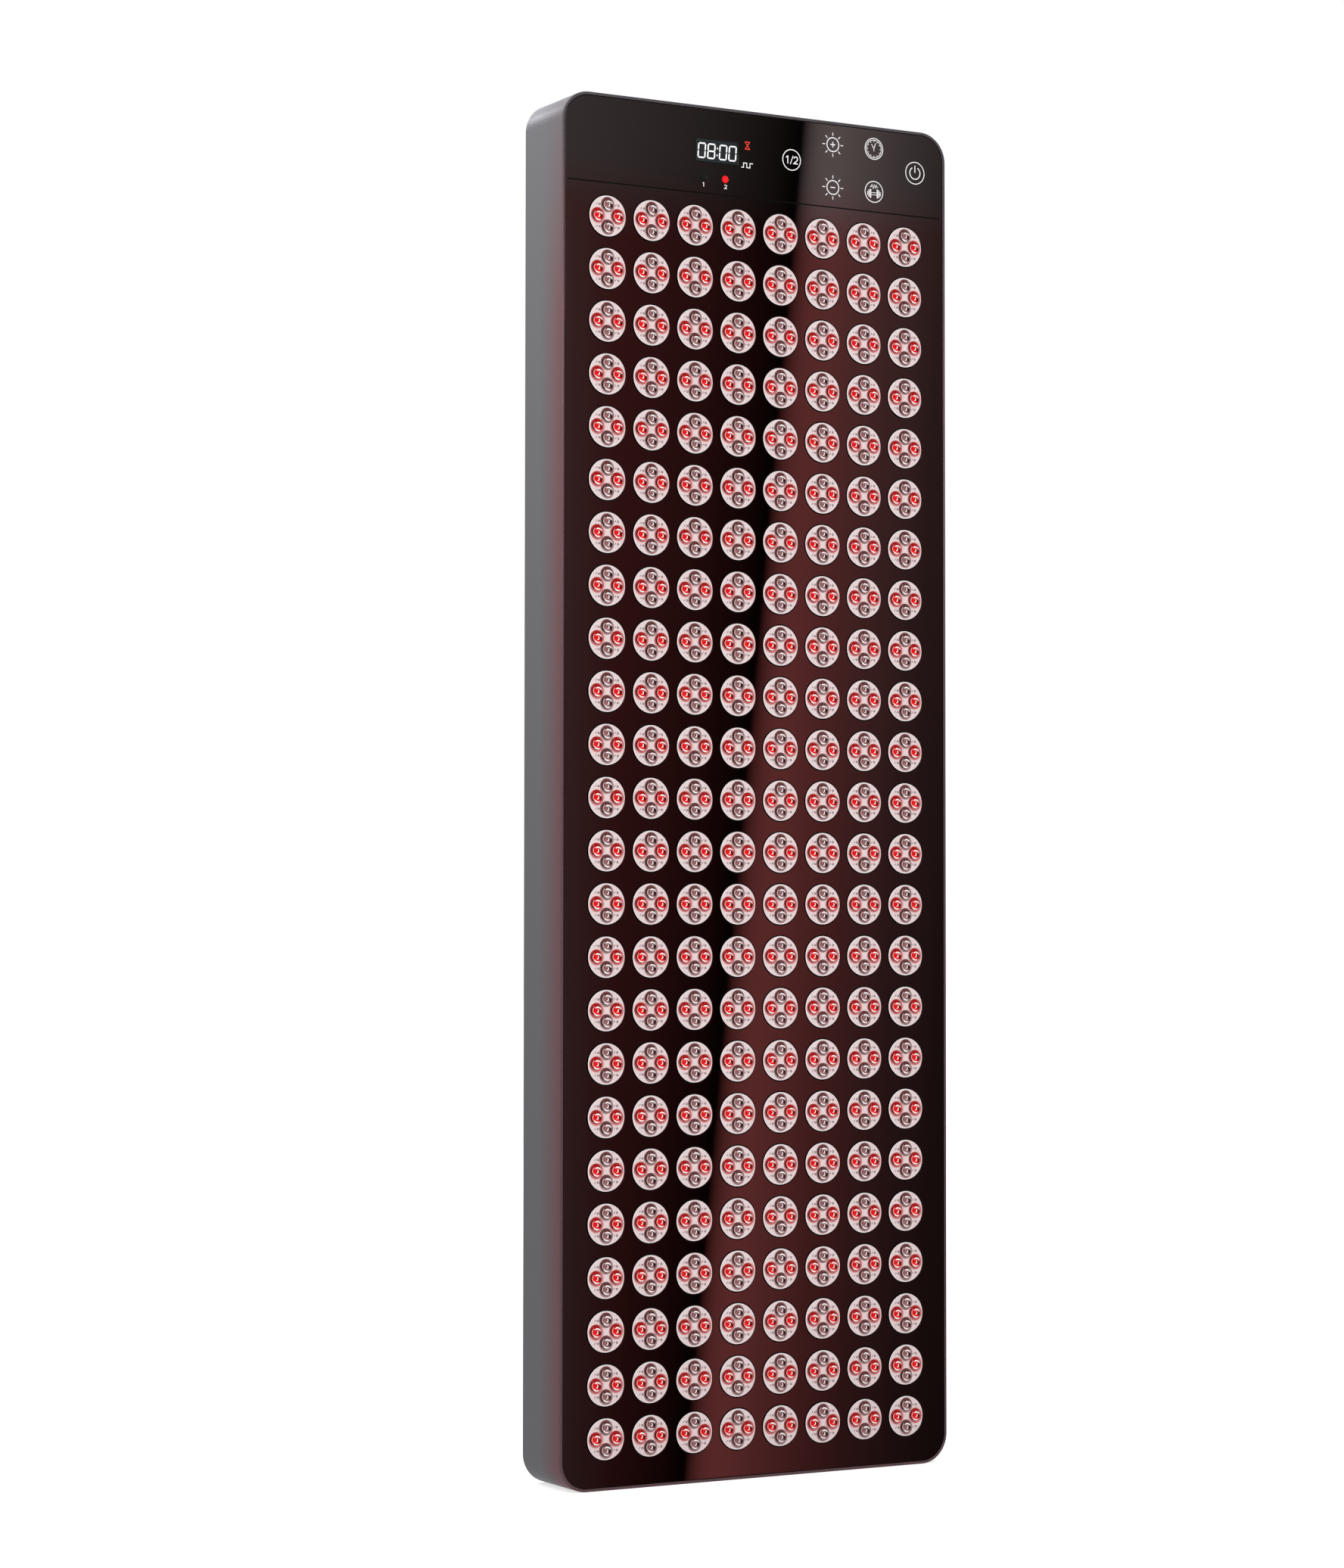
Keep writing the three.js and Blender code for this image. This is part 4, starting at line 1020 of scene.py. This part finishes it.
class LIGHTPANEL_OT_fans(bpy.types.Operator):
    """Builds the three fan frames and their rotors."""
    bl_idname = "light_panel.fans"
    bl_label = "Fans"

    def execute(self, context):
        s = context.scene.light_panel_back
        plastic = moulded_plastic("pbt_moulded_fan", s.plastic, 0.42)
        rotor_plastic = moulded_plastic("pbt_moulded_rotor", linear("#1b1b1d"), 0.36)
        for number, z in enumerate(FAN_HEIGHTS, 1):
            self.fan_frame(number, z, s, plastic)
            self.rotor(number, z, s, rotor_plastic)
        return {"FINISHED"}

    def fan_frame(self, number, z, s, plastic):
        """A square frame with its bore and screw holes, and a hub on four arms."""
        low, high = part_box(f"fan_frame_{number}")
        radius, bevel, arm, screw_hole = s.hub / 2, 0.6 * MM, 3.4 * MM, 2.1 * MM
        bm = bmesh.new()
        holes = [circle(s.bore / 2, 64, 0.0, z), *(circle(screw_hole, 16, *place) for place in fan_screws(z))]
        plate(bm, box_outline(f"fan_frame_{number}", 3.5 * MM, 6), holes, low.y, high.y, 0.5 * MM)
        turned(bm, [(radius - bevel, low.y), (radius, low.y + bevel), (radius, low.y + 3 * MM)], 48, (0.0, 0.0, z))
        for angle in (0, 90, 180, 270):
            a = math.radians(angle)
            ends = [(r * math.cos(a), z + r * math.sin(a)) for r in (radius - 1 * MM, s.bore / 2 + 0.5 * MM)]
            ribbon(bm, ends, arm, low.y + 0.1 * MM, low.y + 2.9 * MM)
        finished(f"fan_housing_{number}", bm, [plastic], "housing", [f"fan_frame_{number}"], 35)

    def rotor(self, number, z, s, plastic):
        """A cupped hub, and blades that twist and sweep from root to tip, each a row of sections."""
        low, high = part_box(f"fan_rotor_{number}")
        front, back, radius = low.y, high.y, s.hub / 2
        bm = bmesh.new()
        turned(bm, [(radius, front), (radius, back - 1.8 * MM), (radius - 0.5 * MM, back - 0.7 * MM),
                    (radius - 1.8 * MM, back - 0.1 * MM), (radius * 0.62, back - 0.1 * MM),
                    (radius * 0.58, back - 0.5 * MM), (radius * 0.1, back - 0.5 * MM)], 56, (0.0, 0.0, z))
        root = radius - 2 * MM
        tip = s.bore / 2 * math.cos(math.pi / 12) - 1.2 * MM  # clear of the faceted bore of the solid frame
        axial = (back - front) - 3 * MM  # the room that the blades have along the axis
        stations, around = 7, 16
        set_at, twist, swept = 30, 22, 10  # degrees: the root's pitch, what the tip adds to it, and the tip's lead
        for blade in range(s.blades):
            spin = 2 * math.pi * blade / s.blades
            loops = []
            for share in (k / (stations - 1) for k in range(stations)):
                r = root + (tip - root) * share
                pitch = math.radians(set_at + twist * share)
                chord = axial / math.cos(math.radians(set_at)) / 2 * (0.94 if share < 1 else 0.9)
                sweep = spin + math.radians(swept) * share
                loop = []
                for t in (2 * math.pi * i / around for i in range(around)):
                    along = math.cos(t) * chord
                    camber = 0.9 * MM * (1 - math.cos(t) ** 2) * (1 - 0.3 * share)
                    thick = math.sin(t) * (0.75 - 0.25 * share) * MM + camber
                    side = along * math.sin(pitch) + thick * math.cos(pitch)
                    y = along * math.cos(pitch) - thick * math.sin(pitch)
                    y = max(-axial / 2, min(axial / 2, y)) + (front + back) / 2
                    a = sweep - side / r
                    loop.append(bm.verts.new((r * math.cos(a), y, z + r * math.sin(a))))
                loops.append(loop)
            skin(bm, loops, start=True, end=True)
        finished(f"fan_impeller_{number}", bm, [plastic], f"impeller_{number}",
                 [f"fan_rotor_{number}"], 45)


class LIGHTPANEL_OT_inlet(bpy.types.Operator):
    """Finishes the mains inlet and builds its rocker with the two switch marks."""
    bl_idname = "light_panel.inlet"
    bl_label = "Mains inlet"

    def execute(self, context):
        s = context.scene.light_panel_back
        dress("inlet_housing", moulded_plastic("polyamide_moulded_inlet", linear("#131314"), 0.38), 0.4 * MM)
        dress("fuse_drawer", moulded_plastic("polyamide_moulded_drawer", linear("#1a1a1c"), 0.42), 0.3 * MM)
        brass = plated_metal("brass_drawn_nickel_plated", linear("#c9c1ae"), 0.22, 1.5 * MM)
        for pin in ("line", "neutral", "earth"):
            dress(f"inlet_pin_{pin}", brass, 0.25 * MM)
        self.rocker(s)
        return {"FINISHED"}

    def rocker(self, s):
        """The rocker as it rests, one end down, with a line at one end and a ring at the other. Its points are about
        its axis, as (y, z), and tip with it at the end."""
        low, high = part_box("mains_rocker")
        chamfer, half, width = 0.3 * MM, 8.7 * MM, high.x - low.x - 0.6 * MM
        waist, rise, bend = 5.6 * MM, 1.6 * MM, 1.4  # the face's height over the axis, what its ends add, and how
        base, inner = 3.5 * MM, 1 * MM  # the base under the axis, and the height that the end faces shrink to
        steps = 14
        face = [(waist + rise * abs(z / half) ** bend, z) for z in spaced(steps + 1, 2 * half / steps)]
        outline = [(-base, -half + 0.5 * MM), *face, (-base, half - 0.5 * MM)]
        bm = bmesh.new()
        shrunk = 1 - chamfer / half
        rings = [[bm.verts.new((x, (y - inner) * scale + inner, z * scale)) for y, z in outline]
                 for x, scale in ((-width / 2 - chamfer, shrunk), (-width / 2, 1.0), (width / 2, 1.0),
                                  (width / 2 + chamfer, shrunk))]
        skin(bm, rings, start=True, end=True)
        axis = ((low.x + high.x) / 2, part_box("inlet_housing")[1].y - 5 * MM, INLET_Z)
        tipped = 9  # degrees, half of what it tips when it is switched
        turn = Matrix.Translation(axis) @ Matrix.Rotation(math.radians(tipped), 4, "X")
        bm.transform(turn)
        red = moulded_plastic("polycarbonate_moulded_rocker", s.rocker, 0.25, 1.2 * MM, 0.01 * MM)
        finished("rocker_cap", bm, [red], "rocker", ["mains_rocker"], 30)
        line, ring = bmesh.new(), bmesh.new()
        proud, sunk = 0.08 * MM, -0.3 * MM
        ribbon(line, [(0.0, -1.8 * MM), (0.0, 1.8 * MM)], 0.7 * MM, proud, sunk)
        ring_line(ring, 1.6 * MM, 0.6 * MM, proud, sunk, 0.0, 0.0, 28)
        slope = math.atan2(rise * bend * 0.85, half)  # of the face where the marks lie
        marks = bmesh.new()
        for mark, side in ((line, 1), (ring, -1)):
            place = Matrix.Translation((0.0, waist + 0.83 * MM, side * 5.3 * MM))
            mark.transform(turn @ place @ Matrix.Rotation(-side * slope, 4, "X"))
            joined(marks, mark)
        finished("rocker_marks", marks, [screen_ink("pad_print_white", linear("#f2f2f2"))], "rocker")


class LIGHTPANEL_OT_hangers(bpy.types.Operator):
    """Builds the two hanging brackets with their rivets."""
    bl_idname = "light_panel.hangers"
    bl_label = "Hangers"

    def execute(self, context):
        s = context.scene.light_panel_back
        zinc = plated_metal("steel_sheet_zinc_plated", s.zinc, 0.32, 5 * MM)
        sheet, corner, edge = 2 * MM, 5 * MM, 0.15 * MM
        root, tip = 12 * MM, 12 * MM - corner  # half the ear's height at the plate, and where its corners begin
        rivet = [(radius * MM, height * MM) for radius, height in (
            (2.6, 0.0), (2.5, 0.5), (1.9, 1.1), (1.0, 1.4), (0.1, 1.5))]
        for name in ("hanger_left", "hanger_right"):
            low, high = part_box(name)
            x, _, z = middle(name)
            reach = high.y - low.y
            bm, ear = bmesh.new(), bmesh.new()
            plate(bm, box_outline(name, 3 * MM, 5), [], low.y, low.y + sheet, edge)
            outline = arc(corner, 0, 90, 6, reach - corner, tip)
            outline += [(sheet * 0.4, root), (sheet * 0.4, -root)]
            outline += arc(corner, -90, 0, 6, reach - corner, -tip)
            plate(ear, outline, [circle(s.eye / 2, 28, (sheet + reach) / 2)], -sheet / 2, sheet / 2, edge)
            ear.transform(Matrix.Translation((x, low.y, z)) @ Matrix.Rotation(math.radians(90), 4, "Z"))
            joined(bm, ear)
            for up in (-16 * MM, 16 * MM):
                turned(bm, rivet, 20, (x, low.y + sheet, z + up), closed_start=False)
            finished(name.replace("hanger", "hanging_bracket"), bm, [zinc], "housing", [name], 35)
        return {"FINISHED"}


class LIGHTPANEL_OT_inner_parts(bpy.types.Operator):
    """Finishes the heat sink and power supplies, which show through the slots."""
    bl_idname = "light_panel.inner_parts"
    bl_label = "Inner parts"

    def execute(self, context):
        drawn = (1.0, 1.0, 0.03)  # the extrusion's marks run up the fins
        extruded = plated_metal("aluminium_extruded_heat_sink", linear("#b9babc"), 0.42, 3 * MM, drawn)
        case = plated_metal("steel_sheet_galvanised_case", linear("#a9adb0"), 0.38, 9 * MM)
        dress("heat_sink", extruded, 0.2 * MM)
        for number in (1, 2):
            dress(f"power_supply_{number}", case, 0.5 * MM)
        return {"FINISHED"}


# Of the card that the glass reflects: columns from the strip's edge, and brightness from there, as (distance, level)
CARD_COLUMNS = (-0.19, -0.16, -0.13, -0.1, -0.07, -0.04, -0.02, -0.0002, 0.0002, 0.015, 0.03, 0.06, 0.09, 0.12, 0.15,
                0.18, 0.22, 0.26)
CARD_LEVELS = (
    (-0.19, 0.96), (-0.133, 0.72), (-0.085, 0.49), (-0.058, 0.36), (-0.038, 0.235), (-0.018, 0.127), (-0.008, 0.058),
    (-0.0004, 0.01), (0.0004, 0.14), (0.002, 0.44), (0.004, 0.78), (0.006, 1.08), (0.008, 1.35), (0.01, 1.57),
    (0.014, 1.9), (0.019, 2.12), (0.025, 2.17), (0.032, 2.11), (0.052, 1.62), (0.082, 1.05), (0.121, 0.53),
    (0.145, 0.36), (0.169, 0.23), (0.202, 0.13),
)
CARD_SPAN = CARD_COLUMNS[-1] - CARD_COLUMNS[0]
CARD_PEAK = 2.5


def card_share(distance):
    """Where a distance from the strip's edge lies across the card, from 0 to 1."""
    return (distance - CARD_COLUMNS[0]) / CARD_SPAN


def seen_directly(owner):
    """A socket that is 1 where a camera, glossy or transmission ray looks on, and 0 for the light on matt surfaces."""
    path = add(owner, "LightPath")
    seen = path.outputs["Is Camera Ray"]
    for kind in ("Is Glossy Ray", "Is Transmission Ray"):
        seen = add(owner, "Math", {0: seen, 1: path.outputs[kind]}, operation="MAXIMUM")
    return seen


class LIGHTPANEL_OT_studio(bpy.types.Operator):
    """Builds the camera, floor, lamps and reflected card."""
    bl_idname = "light_panel.studio"
    bl_label = "Studio"

    def execute(self, context):
        s = context.scene.light_panel_studio
        self.camera(context, s)
        self.floor(s)
        self.world(context, s)
        self.lamps(context, s)
        self.card()
        return {"FINISHED"}

    def camera(self, context, s):
        data = bpy.data.cameras.new("camera")
        data.lens, data.sensor_width = s.lens_length, 36
        data.clip_start, data.clip_end = 0.05, 50
        camera = bpy.data.objects.new("camera", data)
        camera.location = CAMERA
        camera.rotation_euler = [math.radians(a) for a in CAMERA_TURN]
        context.scene.collection.objects.link(camera)
        context.scene.camera = camera

    def floor(self, s):
        """A matt white floor; whoever looks at it, sees it a little brighter than it is lit, as a lit sweep is."""
        m = emptied(bpy.data.materials.new("painted_sweep_matt_white"))
        lift = add(m, "Math", {0: seen_directly(m), 1: 0.6}, operation="MULTIPLY")
        matt = add(m, "BsdfDiffuse", {"Color": s.floor})
        glow = add(m, "Emission", {"Color": WHITE, "Strength": lift})
        bm = bmesh.new()
        reach = 12.0  # to each side
        bmesh.ops.create_grid(bm, x_segments=1, y_segments=1, size=reach)
        floor = meshed("floor", bm, [surface(m, {0: matt, 1: glow}, "AddShader")])
        # Mirrors see the white world and the card where the floor would be, as in a studio cut-out.
        floor.visible_glossy = False

    def world(self, context, s):
        """A white world, dimmer for the light on matt surfaces than to whoever looks at it."""
        world = emptied(bpy.data.worlds.new("white_studio"))
        strength = add(world, "MapRange", span(seen_directly(world), 0.0, 1.0, s.ambient))
        back = add(world, "Background", {"Color": WHITE, "Strength": strength})
        add(world, "OutputWorld", {"Surface": back})
        context.scene.world = world
        context.scene.view_settings.view_transform = "Standard"

    def lamps(self, context, s):
        for name, place, size, watts in (
                ("key_softbox", (-1.5, -2.6, 2.0), (1.5, 1.5), s.key_power),
                ("top_softbox", (-0.5, 0.5, 2.4), (2.0, 1.2), s.top_power),
                ("rear_softbox", (0.6, 2.8, 1.6), (1.6, 1.6), s.rear_power),
                ("edge_softbox", (-0.6, 2.5, 2.2), (0.5, 0.4), s.edge_power)):
            data = bpy.data.lights.new(name, "AREA")
            data.shape, data.size, data.size_y, data.energy = "RECTANGLE", *size, watts
            lamp = bpy.data.objects.new(name, data)
            lamp.location = place
            lamp.rotation_euler = (Vector((0.0, 0.0, MIDDLE)) - Vector(place)).to_track_quat("-Z", "Y").to_euler()
            lamp.visible_camera = False
            context.scene.collection.objects.link(lamp)

    def card(self):
        """A graded card beside the camera, which only the glossy surfaces see: a dark flag that ends at a bright strip.
        A place on the glass shows the card's place twice as far from the mirrored camera."""
        bm = bmesh.new()
        share = bm.verts.layers.float.new("share")
        grid = []
        heights = spaced(35, 0.03, 0.46)
        foot, lean = -0.0579, 0.0933  # X of the strip's edge on the glass at the bottom, and what it gains to the top
        for z in heights:
            edge = foot + lean * (z / HEIGHT)
            line = []
            for distance in CARD_COLUMNS:
                line.append(bm.verts.new((2 * (edge + distance) - CAMERA[0], CAMERA[1], 2 * z - CAMERA[2])))
                line[-1][share] = card_share(distance)
            grid.append(line)
        for lower, upper in zip(grid, grid[1:]):
            for i in range(len(CARD_COLUMNS) - 1):
                bm.faces.new((lower[i], lower[i + 1], upper[i + 1], upper[i]))
        m = emptied(bpy.data.materials.new("paper_graded_card"))
        node = add(m, "ValToRGB", {"Fac": add(m, "Attribute", attribute_name="share").outputs["Fac"]})
        stops = node.color_ramp.elements
        while len(stops) > 1:
            stops.remove(stops[-1])
        for number, (distance, level) in enumerate(CARD_LEVELS):
            stop = stops.new(card_share(distance)) if number else stops[0]
            stop.position, stop.color = card_share(distance), (*[level / CARD_PEAK] * 3, 1.0)
        card = meshed("graded_card", bm, [surface(m, {"Color": node, "Strength": CARD_PEAK}, "Emission")])
        card.visible_camera = card.visible_diffuse = card.visible_shadow = card.visible_transmission = False


SETTINGS = {
    "light_panel_housing": PanelHousingSettings,
    "light_panel_front": PanelFrontSettings,
    "light_panel_lens": PanelLensSettings,
    "light_panel_header": PanelHeaderSettings,
    "light_panel_back": PanelBackSettings,
    "light_panel_studio": PanelStudioSettings,
}
OPERATORS = (
    LIGHTPANEL_OT_housing,
    LIGHTPANEL_OT_front,
    LIGHTPANEL_OT_lenses,
    LIGHTPANEL_OT_header,
    LIGHTPANEL_OT_inner_parts,
    LIGHTPANEL_OT_fans,
    LIGHTPANEL_OT_back_cover,
    LIGHTPANEL_OT_inlet,
    LIGHTPANEL_OT_hangers,
    LIGHTPANEL_OT_studio,
)


class LIGHTPANEL_PT_sidebar(bpy.types.Panel):
    """Lists the pieces of the light therapy panel in the sidebar."""
    bl_idname = "LIGHTPANEL_PT_sidebar"
    bl_label = "Light panel"
    bl_space_type = "VIEW_3D"
    bl_region_type = "UI"
    bl_category = "Light panel"

    def draw(self, context):
        for operator in OPERATORS:
            self.layout.operator(operator.bl_idname)
        for name, group in SETTINGS.items():
            box = self.layout.box()
            for key in group.__annotations__:
                box.prop(getattr(context.scene, name), key)


def register():
    for group in (*SETTINGS.values(), *OPERATORS, LIGHTPANEL_PT_sidebar):
        bpy.utils.register_class(group)
    for name, group in SETTINGS.items():
        setattr(bpy.types.Scene, name, PointerProperty(type=group))


def unregister():
    for name in SETTINGS:
        delattr(bpy.types.Scene, name)
    for group in (LIGHTPANEL_PT_sidebar, *reversed(OPERATORS), *reversed(SETTINGS.values())):
        bpy.utils.unregister_class(group)


def main():
    register()
    for operator in OPERATORS:
        family, name = operator.bl_idname.split(".")
        getattr(getattr(bpy.ops, family), name)()


if __name__ == "__main__":
    main()
